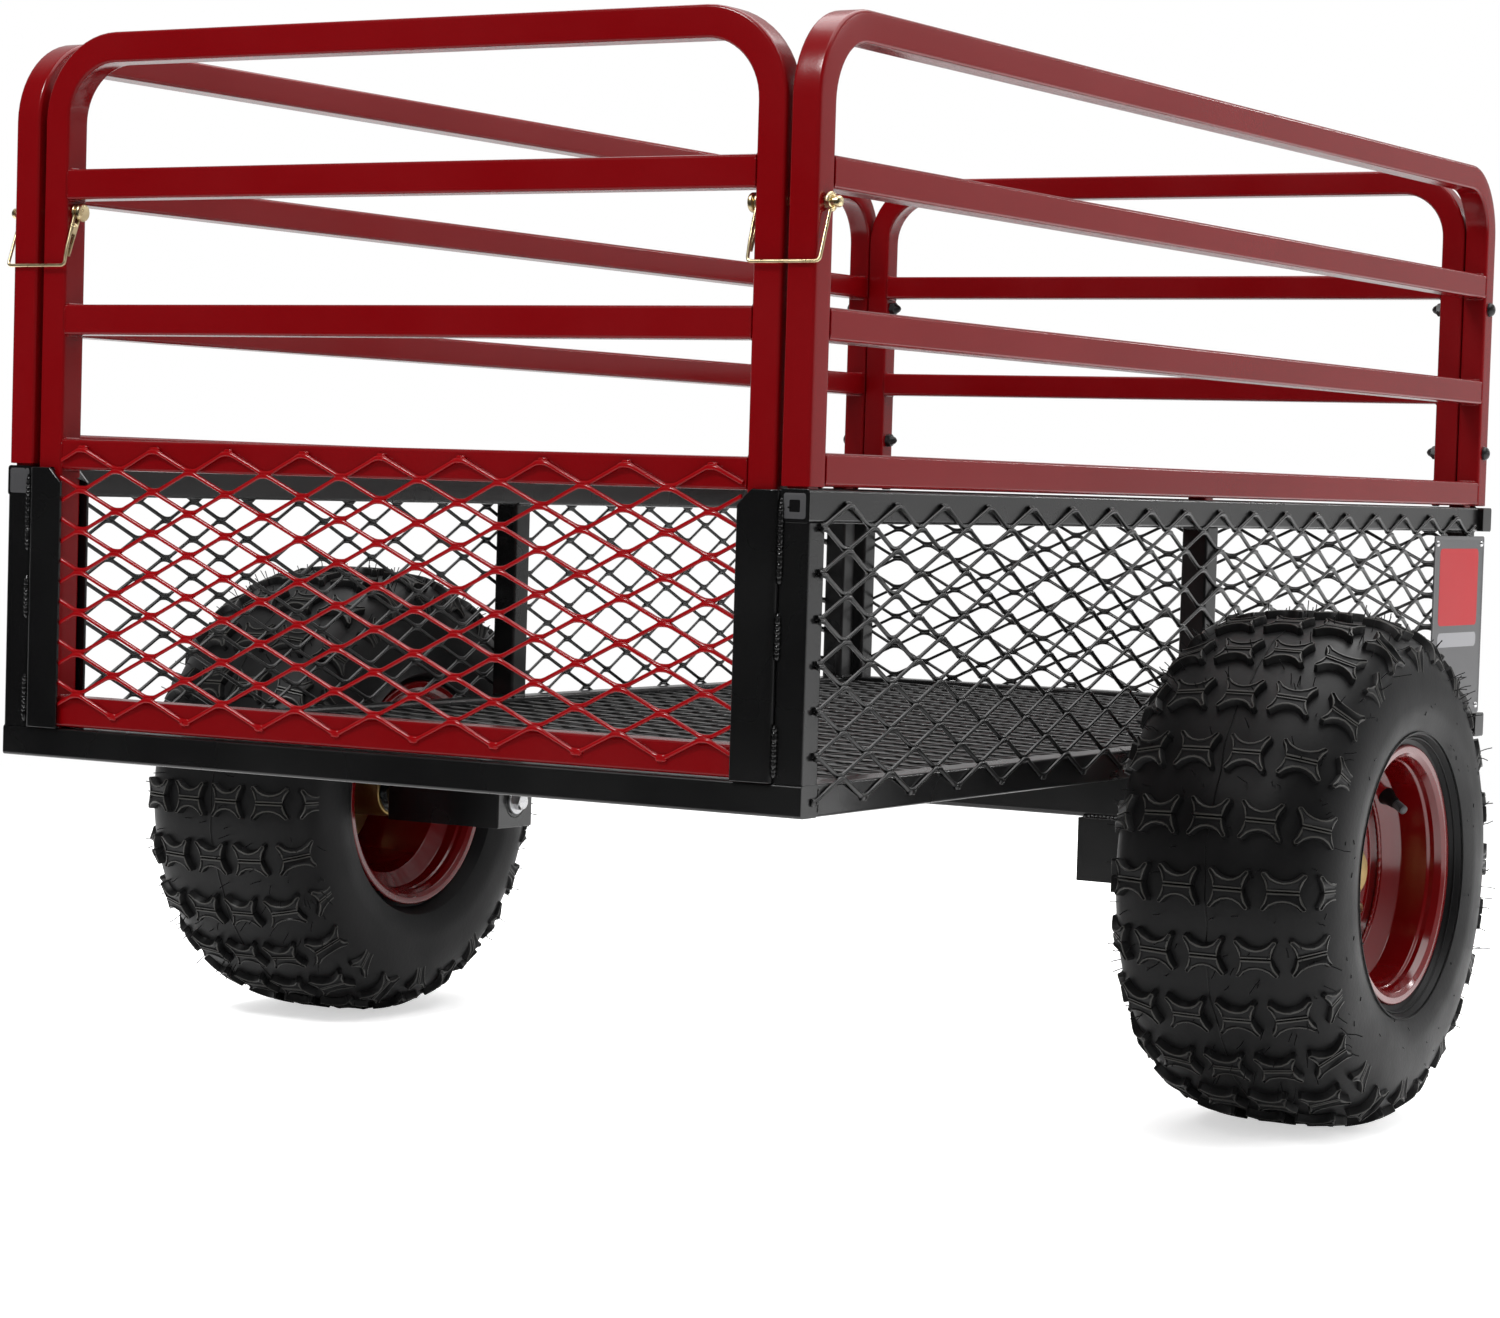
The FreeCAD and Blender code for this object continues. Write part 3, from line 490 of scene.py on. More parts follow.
def rubberMaterial(name, look):
    # moulded rubber or plastic with a fine grain
    material, tree, shader = newMaterial(name)
    place = objectPlace(tree)
    grain = noise(tree, place, look["grainScale"], 5.0)
    cloud = noise(tree, place, 16.0, 7.0)
    dust = placeGroup(tree, settledDust, {"Amount": look["dust"], "Scale": 22.0})
    body = mixColours(tree, cloud, look["base"], look["lit"])
    dusted = mixColours(tree, dust["Mask"], body, (0.045, 0.044, 0.043))
    dressShader(tree, shader, dusted, cloud, look["roughness"], grain, look["grainDepth"])
    shader.inputs["Specular IOR Level"].default_value = look["specular"]
    return material


paintLooks = {
    "redPowder": {"deep": (0.108, 0.0002, 0.001), "lit": (0.136, 0.0004, 0.0018), "speck": (0.22, 0.01, 0.01),
                  "dust": 0.02, "dustColour": (0.3, 0.12, 0.12), "roughness": (0.16, 0.25), "specular": 0.27,
                  "coat": 0.08, "peelScale": 420.0, "peelDepth": 0.00004},
    "rimRed": {"deep": (0.085, 0.0003, 0.0006), "lit": (0.11, 0.0004, 0.0012), "speck": (0.16, 0.01, 0.01),
               "dust": 0.01, "dustColour": (0.4, 0.2, 0.2), "roughness": (0.13, 0.2), "specular": 0.5,
               "coat": 0.25, "peelScale": 330.0, "peelDepth": 0.00003},
    "blackPowder": {"deep": (0.0018, 0.0018, 0.0019), "lit": (0.0034, 0.0034, 0.0036),
                    "speck": (0.04, 0.04, 0.04), "dust": 0.03, "dustColour": (0.12, 0.12, 0.12),
                    "roughness": (0.22, 0.34), "specular": 0.5, "coat": 0.2, "peelScale": 480.0,
                    "peelDepth": 0.00005},
    "blackMesh": {"deep": (0.0016, 0.0016, 0.0016), "lit": (0.0032, 0.0032, 0.0032),
                  "speck": (0.04, 0.04, 0.04),
                  "dust": 0.03, "dustColour": (0.12, 0.12, 0.12), "roughness": (0.26, 0.38), "specular": 0.5,
                  "coat": 0.1, "peelScale": 700.0, "peelDepth": 0.00004},
    "redMesh": {"deep": (0.16, 0.0004, 0.0013), "lit": (0.21, 0.0008, 0.0025), "speck": (0.3, 0.02, 0.02),
                "dust": 0.02, "dustColour": (0.3, 0.12, 0.12), "roughness": (0.14, 0.22), "specular": 0.26,
                "coat": 0.0, "peelScale": 600.0, "peelDepth": 0.00004},
    "bandRed": {"deep": (0.3, 0.006, 0.01), "lit": (0.36, 0.009, 0.014), "speck": (0.4, 0.05, 0.05),
                "dust": 0.03, "dustColour": (0.4, 0.3, 0.3), "roughness": (0.4, 0.5), "specular": 0.4,
                "coat": 0.0, "peelScale": 900.0, "peelDepth": 0.00001},
    "bandGrey": {"deep": (0.22, 0.22, 0.23), "lit": (0.26, 0.26, 0.27), "speck": (0.35, 0.35, 0.35),
                 "dust": 0.03, "dustColour": (0.4, 0.4, 0.4), "roughness": (0.4, 0.5), "specular": 0.4,
                 "coat": 0.0, "peelScale": 900.0, "peelDepth": 0.00001},
    "plateGrey": {"deep": (0.055, 0.055, 0.057), "lit": (0.075, 0.075, 0.078), "speck": (0.14, 0.14, 0.14),
                  "dust": 0.05, "dustColour": (0.3, 0.3, 0.3), "roughness": (0.3, 0.42), "specular": 0.5,
                  "coat": 0.1, "peelScale": 600.0, "peelDepth": 0.00003},
}
metalLooks = {
    "yellowZinc": {"first": (0.6, 0.46, 0.22), "second": (0.88, 0.76, 0.5), "roughness": (0.22, 0.4),
                   "metallic": 1.0, "cloud": 90.0},
    "hubZinc": {"first": (0.36, 0.24, 0.08), "second": (0.62, 0.45, 0.2), "roughness": (0.28, 0.5),
                "metallic": 1.0, "cloud": 45.0},
    "brightZinc": {"first": (0.45, 0.45, 0.46), "second": (0.7, 0.7, 0.71), "roughness": (0.22, 0.4),
                   "metallic": 1.0, "cloud": 70.0},
    "blackZinc": {"first": (0.012, 0.012, 0.013), "second": (0.035, 0.035, 0.035), "roughness": (0.28, 0.45),
                  "metallic": 0.6, "cloud": 120.0},
    "bearingSteel": {"first": (0.3, 0.3, 0.31), "second": (0.5, 0.5, 0.5), "roughness": (0.18, 0.3),
                     "metallic": 1.0, "cloud": 60.0},
}
rubberLooks = {
    "tyreRubber": {"base": (0.0028, 0.0028, 0.003), "lit": (0.0055, 0.0055, 0.0058), "roughness": (0.36, 0.5),
                   "grainScale": 260.0, "grainDepth": 0.00012, "dust": 0.12, "specular": 0.16},
    # lighter rubber for the knob ridges: partly wear, partly a painted highlight of the lit edges
    "tyreWear": {"base": (0.014, 0.0135, 0.012), "lit": (0.034, 0.033, 0.029), "roughness": (0.34, 0.46),
                 "grainScale": 260.0, "grainDepth": 0.0001, "dust": 0.1, "specular": 0.4},
    "valveRubber": {"base": (0.002, 0.002, 0.002), "lit": (0.005, 0.005, 0.005), "roughness": (0.35, 0.5),
                    "grainScale": 500.0, "grainDepth": 0.00006, "dust": 0.05, "specular": 0.2},
    "plugPlastic": {"base": (0.03, 0.03, 0.032), "lit": (0.055, 0.055, 0.057), "roughness": (0.35, 0.5),
                    "grainScale": 700.0, "grainDepth": 0.00004, "dust": 0.1, "specular": 0.35},
}
finishKinds = ((powderPaint, paintLooks), (platedMetal, metalLooks), (rubberMaterial, rubberLooks))
finishes = {}
for makeFinish, finishLooks in finishKinds:
    for finishName, finishLook in finishLooks.items():
        finishes[finishName] = makeFinish(finishName, finishLook)
print("materials ready")


cameraLook = {"lens": 89.33, "place": (-3.4752, -1.7433, 0.5405), "yaw": 30.716, "pitch": -2.701,
              "roll": 1.704, "clip": 60}


def buildCamera(look):
    yaw, pitch, roll = (math.radians(look[k]) for k in ("yaw", "pitch", "roll"))
    ahead = Vector((math.cos(yaw) * math.cos(pitch), math.sin(yaw) * math.cos(pitch), math.sin(pitch)))
    right = Vector((math.sin(yaw), -math.cos(yaw), 0))
    upward = right.cross(ahead)
    turnedRight = right * math.cos(roll) + upward * math.sin(roll)
    turnedUp = upward * math.cos(roll) - right * math.sin(roll)
    lens = bpy.data.cameras.new("camera")
    lens.lens = look["lens"]
    camera = bpy.data.objects.new("camera", lens)
    bpy.context.scene.collection.objects.link(camera)
    camera.matrix_world = Matrix((turnedRight, turnedUp, -ahead)).transposed().to_4x4()
    camera.location = look["place"]
    lens.clip_end = look["clip"]
    bpy.context.scene.camera = camera


def areaLight(name, look):
    lamp = bpy.data.lights.new(name, "AREA")
    lamp.shape = "RECTANGLE"
    lamp.size, lamp.size_y = look["size"]
    lamp.energy = look["power"]
    holder = bpy.data.objects.new(name, lamp)
    bpy.context.scene.collection.objects.link(holder)
    holder.location = look["place"]
    aim = Vector(look["target"]) - Vector(look["place"])
    holder.rotation_euler = aim.to_track_quat("-Z", "Y").to_euler()
    holder.visible_camera = False
    holder.visible_glossy = look["mirrored"]


lightLook = {
    "top": {"place": (0.2, -0.3, 3.4), "target": (0, 0, 0), "size": (4.4, 3.4), "power": 150,
            "mirrored": True},
    "rearHigh": {"place": (-3.2, 0.6, 3.0), "target": (-0.6, 0, 0.4), "size": (0.9, 0.6), "power": 80,
                 "mirrored": True},
    "right": {"place": (0.8, -3.6, 1.7), "target": (0, 0, 0.4), "size": (3.4, 2.2), "power": 60,
              "mirrored": False},
    "spotFirst": {"place": (3.2, -1.5, 1.9), "target": (-0.4, -0.5, 0.3), "size": (0.2, 0.36), "power": 5,
                  "mirrored": True},
    "spotSecond": {"place": (2.8, -2.9, 2.1), "target": (-0.4, -0.5, 0.3), "size": (0.2, 0.36), "power": 5,
                   "mirrored": True},
}
stageLook = {"skyFill": 0.78, "skySeen": 1.0, "white": 0.55, "dark": 0.012, "horizon": (-0.35, 0.25),
             "paper": (0.93, 0.93, 0.93, 1), "glow": 0.55, "fade": (1.5, 3.2), "darkRear": (-2.2, -0.9)}


def buildWorld(look):
    # bright paper ahead and to the sides, unlit studio behind the lens in reflections only
    world = bpy.data.worlds.new("studio")
    bpy.context.scene.world = world
    world.use_nodes = True
    tree = world.node_tree
    tree.nodes.clear()
    place = addNode(tree, "ShaderNodeTexCoord").outputs["Generated"]
    mirrored = mapRange(tree, splitVector(tree, place)["X"], look["horizon"], (look["dark"], look["white"]),
                        "SMOOTHSTEP")
    path = addNode(tree, "ShaderNodeLightPath").outputs
    strength = addNode(tree, "ShaderNodeMix", data_type="FLOAT",
                       sockets={"Factor": path["Is Glossy Ray"], "A": look["skyFill"], "B": mirrored})
    seen = addNode(tree, "ShaderNodeMix", data_type="FLOAT",
                   sockets={"Factor": path["Is Camera Ray"], "A": strength.outputs["Result"],
                            "B": look["skySeen"]})
    background = addNode(tree, "ShaderNodeBackground",
                         {"Color": (1, 1, 1, 1), "Strength": seen.outputs["Result"]})
    addNode(tree, "ShaderNodeOutputWorld", {"Surface": background.outputs[0]})


def paperMaterial(look):
    # pale paper that glows faintly to the lens; in reflections its far rear part stays dark
    material, tree, shader = newMaterial("palePaper")
    shader.inputs["Base Color"].default_value = look["paper"]
    shader.inputs["Roughness"].default_value = 0.9
    shader.inputs["Specular IOR Level"].default_value = 0.1
    shader.inputs["Emission Color"].default_value = (1, 1, 1, 1)
    place = objectPlace(tree)
    dark = mapRange(tree, splitVector(tree, place)["X"], look["darkRear"], (1.0, 0.0), "SMOOTHSTEP")
    path = addNode(tree, "ShaderNodeLightPath").outputs
    glow = mathNode(tree, "MULTIPLY", path["Is Camera Ray"], look["glow"])
    tree.links.new(glow, shader.inputs["Emission Strength"])
    unlit = addNode(tree, "ShaderNodeEmission", {"Color": (look["dark"],) * 3 + (1,)})
    mirrored = mathNode(tree, "MULTIPLY", dark, path["Is Glossy Ray"])
    mix = addNode(tree, "ShaderNodeMixShader", {0: mirrored, 1: shader.outputs[0], 2: unlit.outputs[0]})
    # it fades into the white surround with distance, and hides when seen from below
    distance = addNode(tree, "ShaderNodeVectorMath", {0: place}, operation="LENGTH").outputs["Value"]
    edge = mapRange(tree, distance, look["fade"], (0.0, 1.0), "SMOOTHSTEP")
    below = addNode(tree, "ShaderNodeNewGeometry").outputs["Backfacing"]
    hidden = mathNode(tree, "MAXIMUM", edge, below)
    clear = mathNode(tree, "MULTIPLY", hidden, path["Is Camera Ray"])
    nothing = addNode(tree, "ShaderNodeBsdfTransparent")
    fade = addNode(tree, "ShaderNodeMixShader", {0: clear, 1: mix.outputs[0], 2: nothing.outputs[0]})
    tree.links.new(fade.outputs[0], tree.nodes["Material Output"].inputs["Surface"])
    return material


def buildFloor(look):
    bm = bmesh.new()
    bmesh.ops.create_grid(bm, x_segments=40, y_segments=40, size=14)
    mesh = bpy.data.meshes.new("floor")
    bm.to_mesh(mesh)
    bm.free()
    floor = bpy.data.objects.new("floor", mesh)
    bpy.context.scene.collection.objects.link(floor)
    floor.location.z = -0.0005
    mesh.materials.append(paperMaterial(look))


buildCamera(cameraLook)
for lampName, lamp in lightLook.items():
    areaLight(lampName, lamp)
buildWorld(stageLook)
buildFloor(stageLook)
bpy.context.scene.view_settings.view_transform = "Standard"
print("camera, light and floor ready")


frameLook = {"corner": 2.7 * mm, "openTube": "top_rail_left", "bead": 2.1 * mm, "short": 3 * mm}


def buildBedFrame(look):
    # rails, posts and bearers as tube, one rail with open ends
    singles = ["rear_rail", "front_rail_bottom", "front_rail_top"]
    paired = ("side_rail_", "top_rail_", "post_rear_", "post_middle_", "post_front_")
    for side in ("left", "right"):
        singles += [part + side for part in paired]
    for node in singles:
        bm = bmesh.new()
        straightTube(bm, *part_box(node), look["corner"], "open" if node == look["openTube"] else "flat")
        finishPiece(node + "_tube", bm, "blackPowder", "bed", [node])
    for node in ("floor_bearers", "front_posts"):
        bm = bmesh.new()
        for low, high in islandBoxes(node):
            straightTube(bm, low, high, look["corner"])
        finishPiece(node + "_tubes", bm, "blackPowder", "bed", [node])


def buildBedWelds(look):
    # beads where the posts meet the rails, and at the corners of the floor frame
    bm = bmesh.new()
    r = look["bead"]
    short = look["short"]
    for side, sign in sides:
        outer = sign * halfWide
        inner = sign * (halfWide - tube)
        for place in ("rear", "middle", "front"):
            low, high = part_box("post_%s_%s" % (place, side))
            for z in (low.z, high.z):
                for x in (low.x, high.x):
                    if x > bedRear + mm:
                        start = Vector((x, outer - sign * short, z))
                        weldBead(bm, start, Vector((x, inner + sign * short, z)), r)
                weldBead(bm, Vector((low.x + short, inner, z)), Vector((high.x - short, inner, z)), r)
        seam = bedRear + tube
        corner = Vector((seam, inner, deck + tube))
        weldBead(bm, corner, corner + Vector((0, sign * (tube - short), 0)), r * 0.8)
        weldBead(bm, Vector((seam, outer, deck + short)), Vector((seam, outer, deck + tube - short)), r * 0.6)
        for z in (deck, bedTop - tube):
            for lift in (0, tube):
                start = Vector((bedFront, outer - sign * short, z + lift))
                weldBead(bm, start, start - yAxis * sign * (tube - 2 * short), r)
    finishPiece("bed_welds", bm, "blackPowder", "bed", (), 60)


plugLook = {"lip": 0.9 * mm, "corner": 2.2 * mm, "face": ((0, 1.0), (1, 0.86), (1, 0.5), (0.5, 0.38))}


def buildPlugs(look):
    # pressed-in end plugs: a domed square face with a small sink mark
    bm = bmesh.new()
    for low, high in islandBoxes("rail_plugs"):
        middle = (low + high) / 2
        outward = -1 if middle.x < 0 else 1
        front, back = (low.x, high.x) if outward < 0 else (high.x, low.x)
        steps = [(back, 1.0)] + [(front + outward * look["lip"] * out, scale) for out, scale in look["face"]]
        shape = outline(high.y - low.y, high.y - low.y, look["corner"])
        skinRings(bm, [addRing(bm, Vector((x, middle.y, middle.z)), yAxis, zAxis, shape, scale)
                       for x, scale in steps])
    finishPiece("rail_end_plugs", bm, "plugPlastic", "bed", ["rail_plugs"])


guideLook = {
    "plate": 3.0 * mm, "bend": 5.0 * mm, "chamfer": 12 * mm, "bead": 2.6 * mm,
    "welds": ((0.02, 0.2), (0.42, 0.58), (0.68, 0.97)), "spatter": 14,
}


def buildGuides(look):
    # bent channels that hold the tailgate's posts, welded to the rear posts
    for side, sign in sides:
        low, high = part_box("gate_guide_" + side)
        half = look["plate"] / 2
        web = (high.y if sign > 0 else low.y) - sign * half
        tip = low.y if sign > 0 else high.y
        rear, front = low.x + half, high.x - half
        line = roundCorners([(rear, tip), (rear, web), (front, web), (front, tip)], look["bend"])
        count = len(line)
        left = []
        right = []
        for i, p in enumerate(line):
            run = (line[min(i + 1, count - 1)] - line[max(i - 1, 0)]).normalized()
            normal = Vector((-run.y, run.x)) * half
            left.append(p + normal)
            right.append(p - normal)
        section = left + right[::-1]
        bm = bmesh.new()
        skinRings(bm, [[bm.verts.new((p.x, p.y, z)) for p in section] for z in (low.z, high.z)])
        corner = Vector((low.x, tip, high.z - look["chamfer"]))
        slope = Vector((0, -sign, 1)).normalized()
        everything = bm.verts[:] + bm.edges[:] + bm.faces[:]
        cut = bmesh.ops.bisect_plane(bm, geom=everything, plane_co=corner, plane_no=slope, clear_outer=True)
        edges = [e for e in cut["geom_cut"] if isinstance(e, bmesh.types.BMEdge)]
        bmesh.ops.contextual_create(bm, geom=edges)
        bmesh.ops.holes_fill(bm, edges=[e for e in bm.edges if e.is_boundary], sides=0)
        node = "gate_guide_" + side
        finishPiece(node + "_channel", bm, "blackPowder", "bed", [node], 30, 0.6 * mm)
        welds = bmesh.new()
        height = high.z - low.z
        edge = sign * (halfWide - tube + 1.5 * mm)
        for span in look["welds"]:
            start, stop = (Vector((bedRear - 0.6 * mm, edge, low.z + height * share)) for share in span)
            weldBead(welds, start, stop, look["bead"], 0.3)
        for _ in range(look["spatter"]):
            aside = edge + sign * random.uniform(1, 9) * mm
            spot = Vector((bedRear, aside, low.z + height * random.random()))
            wire(welds, [spot + xAxis * 0.6 * mm, spot - xAxis * 0.5 * mm], random.uniform(0.4, 0.9) * mm, 6)
        finishPiece(node + "_welds", welds, "blackPowder", "bed", (), 60)


meshLook = {
    "longPitch": 76.2 * mm, "shortPitch": 33.87 * mm, "width": 3.4 * mm, "thick": 2.4 * mm,
    "bond": 9 * mm, "bondScale": 1.22, "tilt": 28.0, "sway": 1.1 * mm,
    "tip": (9 * mm, 5.4 * mm, 2.4 * mm), "lump": 1.5 * mm,
}


def clipLine(path, direction, low, high):
    # the part of a line whose reach along a direction is between two values
    kept = []
    for a, b in zip(path, path[1:]):
        u, v = a.dot(direction), b.dot(direction)
        if v <= low or u >= high:
            continue
        start = a.lerp(b, (low - u) / (v - u)) if u < low else a
        end = a.lerp(b, (high - u) / (v - u)) if v > high else b
        if not kept:
            kept.append(start)
        kept.append(end)
    return kept


def meshTip(bm, centre, along, normal, look):
    # a cut bond flattened against the tube behind it, with a lump of weld
    length, height, thick = look["tip"]
    half = length / 2 * random.uniform(0.85, 1.15)
    path = [centre + along * half * t for t in (-1, -0.72, 0.72, 1)]
    sweep(bm, path, outline(thick, height, thick * 0.4, 2), normal, "flat", [0.6, 1, 1, 0.6])
    side = random.choice((-1, 1)) * random.uniform(0.4, 0.9)
    spot = centre + along * half * side
    wire(bm, [spot - along * 1.4 * mm, spot + along * 1.4 * mm], look["lump"] * random.uniform(0.8, 1.3), 8)


def expandedMetal(bm, base, along, up, normal, firstBond, rowCount, reach, look, phase=0, tips=False):
    # base lies on the first row of bonds; each strand zigzags between two rows of bonds
    row = look["shortPitch"] / 2
    column = look["longPitch"] / 2
    angle = math.radians(look["tilt"])
    profile = []
    for p in outline(look["thick"], look["width"], 0.7 * mm, 1):
        profile.append(Vector((p.x * math.cos(angle) - p.y * math.sin(angle),
                               p.x * math.sin(angle) + p.y * math.cos(angle))))
    low, high = reach
    first = int(math.floor((low - firstBond) / column)) - 1
    last = int(math.ceil((high - firstBond) / column)) + 1
    for i in range(rowCount - 1):
        path = []
        for m in range(first, last + 1):
            onUpper = (i + m + phase) % 2 == 0
            level = -i * row - look["width"] * 0.42 if onUpper else -(i + 1) * row + look["width"] * 0.42
            sway = -look["sway"] if onUpper else look["sway"]
            centre = base + along * (firstBond + m * column - base.dot(along)) + up * level + normal * sway
            for shift in (-0.5, -0.18, 0.18, 0.5):
                slope = 0.35 * mm * (1 if onUpper else -1) * (1 if abs(shift) < 0.3 else 0)
                path.append(centre + along * (look["bond"] * shift) + up * slope)
        path = clipLine(path, along, low, high)
        eased = []
        for a, b in zip(path, path[1:]):
            eased.append(a)
            if (b - a).length > look["bond"]:
                eased += [a.lerp(b, 0.12), a.lerp(b, 0.88)]
        eased += path[-1:]
        scales = []
        for p in eased:
            offset = abs((p.dot(along) - firstBond + column / 2) % column - column / 2)
            scales.append(look["bondScale"] if offset < look["bond"] * 0.51 else 1.0)
        if len(path) > 1:
            sweep(bm, eased, profile, normal, "flat", scales)
    if not tips:
        return
    for i, level in ((0, 0.0), (rowCount - 1, -(rowCount - 1) * row)):
        for m in range(first, last + 1):
            place = firstBond + m * column
            if (i + m + phase) % 2 == 0 and low < place < high:
                centre = base + along * (place - base.dot(along)) + up * level + normal * look["sway"] * 0.5
                meshTip(bm, centre, along, normal, look)


meshSpots = {
    "rowTop": 231.5 * mm, "rows": 14, "sideBond": 17.5 * mm, "sideReach": (14 * mm, 1409 * mm),
    "frontBond": 19.05 * mm, "frontReach": 358 * mm, "floorRows": 83,
    "gateRowTop": 257.7 * mm, "gateBond": 307.0 * mm, "gateReach": 329 * mm,
}


def buildMeshes(look, spots):
    stand = look["thick"] * 0.75
    rows = spots["rows"]
    top = deck + spots["rowTop"]

    def panel(node, base, axes, bond, rowCount, reach, phase=0, tips=True, finish="blackMesh", body="bed"):
        bm = bmesh.new()
        expandedMetal(bm, base, *axes, bond, rowCount, reach, look, phase, tips)
        finishPiece(node + "_strands", bm, finish, body, [node], 50, weighted=False)

    reach = [bedRear + edge for edge in spots["sideReach"]]
    for side, sign in sides:
        base = Vector((0, sign * (halfWide + stand), top))
        axes = (xAxis, zAxis, -yAxis * sign)
        panel("side_mesh_" + side, base, axes, bedRear + spots["sideBond"], rows, reach, 1)
    span = spots["frontReach"]
    base = Vector((frontEnd + stand, 0, top))
    panel("front_mesh", base, (yAxis, zAxis, -xAxis), spots["frontBond"], rows, (-span, span))
    inside = halfWide - tube
    base = Vector((frontEnd - 3 * mm, 0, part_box("floor_mesh")[1].z - look["thick"] * 0.6))
    panel("floor_mesh", base, (yAxis, xAxis, zAxis), 0.0, spots["floorRows"], (-inside, inside), tips=False)
    span = spots["gateReach"]
    base = Vector((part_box("tailgate")[0].x - stand, 0, deck + spots["gateRowTop"]))
    panel("tailgate_mesh", base, (yAxis, zAxis, xAxis), spots["gateBond"], rows, (-span, span),
          finish="redMesh", body="cage")


plateLook = {
    "corner": 3 * mm, "inset": 3 * mm, "ridge": 0.4 * mm, "rivet": 3.2 * mm, "rivetSpot": 8 * mm,
    "clear": 1.6 * mm, "bandSide": 16 * mm, "bandCorner": 6 * mm,
    "bands": (("bandRed", 0.5, 0.93), ("bandGrey", 0.38, 0.46)),
}


def buildPlate(look):
    # plain riveted plate with a pressed border and two painted bands, standing just clear of the mesh
    low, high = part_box("badge_plate")
    low.y -= look["clear"]
    high.y -= look["clear"]
    middle = (low + high) / 2
    width = high.x - low.x
    height = high.z - low.z
    inset = look["inset"]
    face = low.y + look["ridge"]
    bm = bmesh.new()
    soft = 0.3 * mm
    steps = ((high.y, 0.0), (low.y + soft, 0.0), (low.y, soft), (low.y, inset), (face, inset + 1 * mm))
    rings = []
    for y, back in steps:
        shape = outline(width - 2 * back, height - 2 * back, max(look["corner"] - back * 0.3, 1 * mm))
        rings.append(addRing(bm, Vector((middle.x, y, middle.z)), xAxis, zAxis, shape))
    skinRings(bm, rings)
    finishPiece("side_plate", bm, "plateGrey", "bed", ["badge_plate"], 25)
    rivets = bmesh.new()
    r = look["rivet"]
    edge = look["rivetSpot"]
    for z in (low.z + edge, high.z - edge):
        for x in (low.x + edge, high.x - edge):
            dome = [(0.0, r), (1.0 * mm, r * 0.9), (1.8 * mm, r * 0.55), (2.1 * mm, 0.0)]
            revolve(rivets, dome, Vector((x, face, z)), -1, 20)
    for paint, bottom, top in look["bands"]:
        band = bmesh.new()
        shape = outline(width - 2 * look["bandSide"], height * (top - bottom), look["bandCorner"])
        z = low.z + height * (bottom + top) / 2
        skinRings(band, [addRing(band, Vector((middle.x, face + out, z)), xAxis, zAxis, shape, scale)
                         for out, scale in ((0.2 * mm, 1.0), (-0.1 * mm, 1.0), (-0.15 * mm, 0.995))])
        finishPiece("side_plate_" + paint, band, paint, "bed", (), 25)
    finishPiece("side_plate_rivets", rivets, "brightZinc", "bed")


buildBedFrame(frameLook)
buildBedWelds(frameLook)
buildPlugs(plugLook)
buildGuides(guideLook)
buildMeshes(meshLook, meshSpots)
buildPlate(plateLook)
print("bed built")


rackLook = {
    "bend": 72 * mm, "pitch": 111.4 * mm, "corner": 2.9 * mm, "crush": 1.6 * mm, "spread": 0.4 * mm,
    "bead": 1.7 * mm, "arcSteps": 14,
}


def buildHoop(bm, welds, corner, along, length, low, high, rails, look):
    # corner: the hoop's outer edge on its centre plane, with `along` running across the hoop
    centreBend = look["bend"] - tube / 2
    across = along.cross(zAxis)
    left = corner + along * (tube / 2)
    right = corner + along * (length - tube / 2)
    half = (low + high) / 2
    path = [Vector((left.x, left.y, low)), Vector((left.x, left.y, half))]
    crushed = {}
    steps = look["arcSteps"]
    for hub, start in ((left + along * centreBend, math.pi), (right - along * centreBend, math.pi / 2)):
        centre = Vector((hub.x, hub.y, high - look["bend"]))
        for k in range(steps + 1):
            a = start - math.pi / 2 * k / steps
            crushed[len(path)] = math.sin(math.pi * k / steps)
            path.append(centre + along * (math.cos(a) * centreBend) + zAxis * (math.sin(a) * centreBend))
    path += [Vector((right.x, right.y, half)), Vector((right.x, right.y, low))]
    middle = (left + right) / 2
    heart = Vector((middle.x, middle.y, half))

    def pressInside(i, ring, point, upward):
        # the inner wall of a cold bend sinks a little
        if i not in crushed:
            return
        inward = upward if (heart - point).dot(upward) > 0 else -upward
        depth = look["crush"] * crushed[i]
        for v in ring:
            offset = v.co - point
            aside = offset.dot(across)
            if offset.dot(inward) > tube * 0.45:
                side = abs(aside) / (tube / 2)
                v.co -= inward * depth * max(0.0, 1 - side * side * 1.3)
            elif offset.dot(inward) > -tube * 0.3 and abs(aside) > tube * 0.49:
                v.co += across * (look["spread"] * crushed[i]) * (1 if aside > 0 else -1)

    sweep(bm, path, outline(tube, tube, look["corner"], cuts=3), across, bendInside=pressInside)
    r = look["bead"]
    half = tube / 2
    short = half - 3 * mm
    start = corner + along * tube
    end = corner + along * (length - tube)
    for z in rails:
        run = [Vector((start.x, start.y, z)), Vector((end.x, end.y, z))]
        sweep(bm, inSteps(*run), outline(tube, tube, look["corner"]), across)
        for spot, inward in ((run[0], along), (run[1], -along)):
            for lift in (-half, half):
                edge = spot + zAxis * lift + inward * 0.3 * mm
                weldBead(welds, edge - across * short, edge + across * short, r)
            for face in (-half, half):
                edge = spot + across * (face * 0.985) + inward * 0.2 * mm
                weldBead(welds, edge - zAxis * short, edge + zAxis * short, r * 0.5)


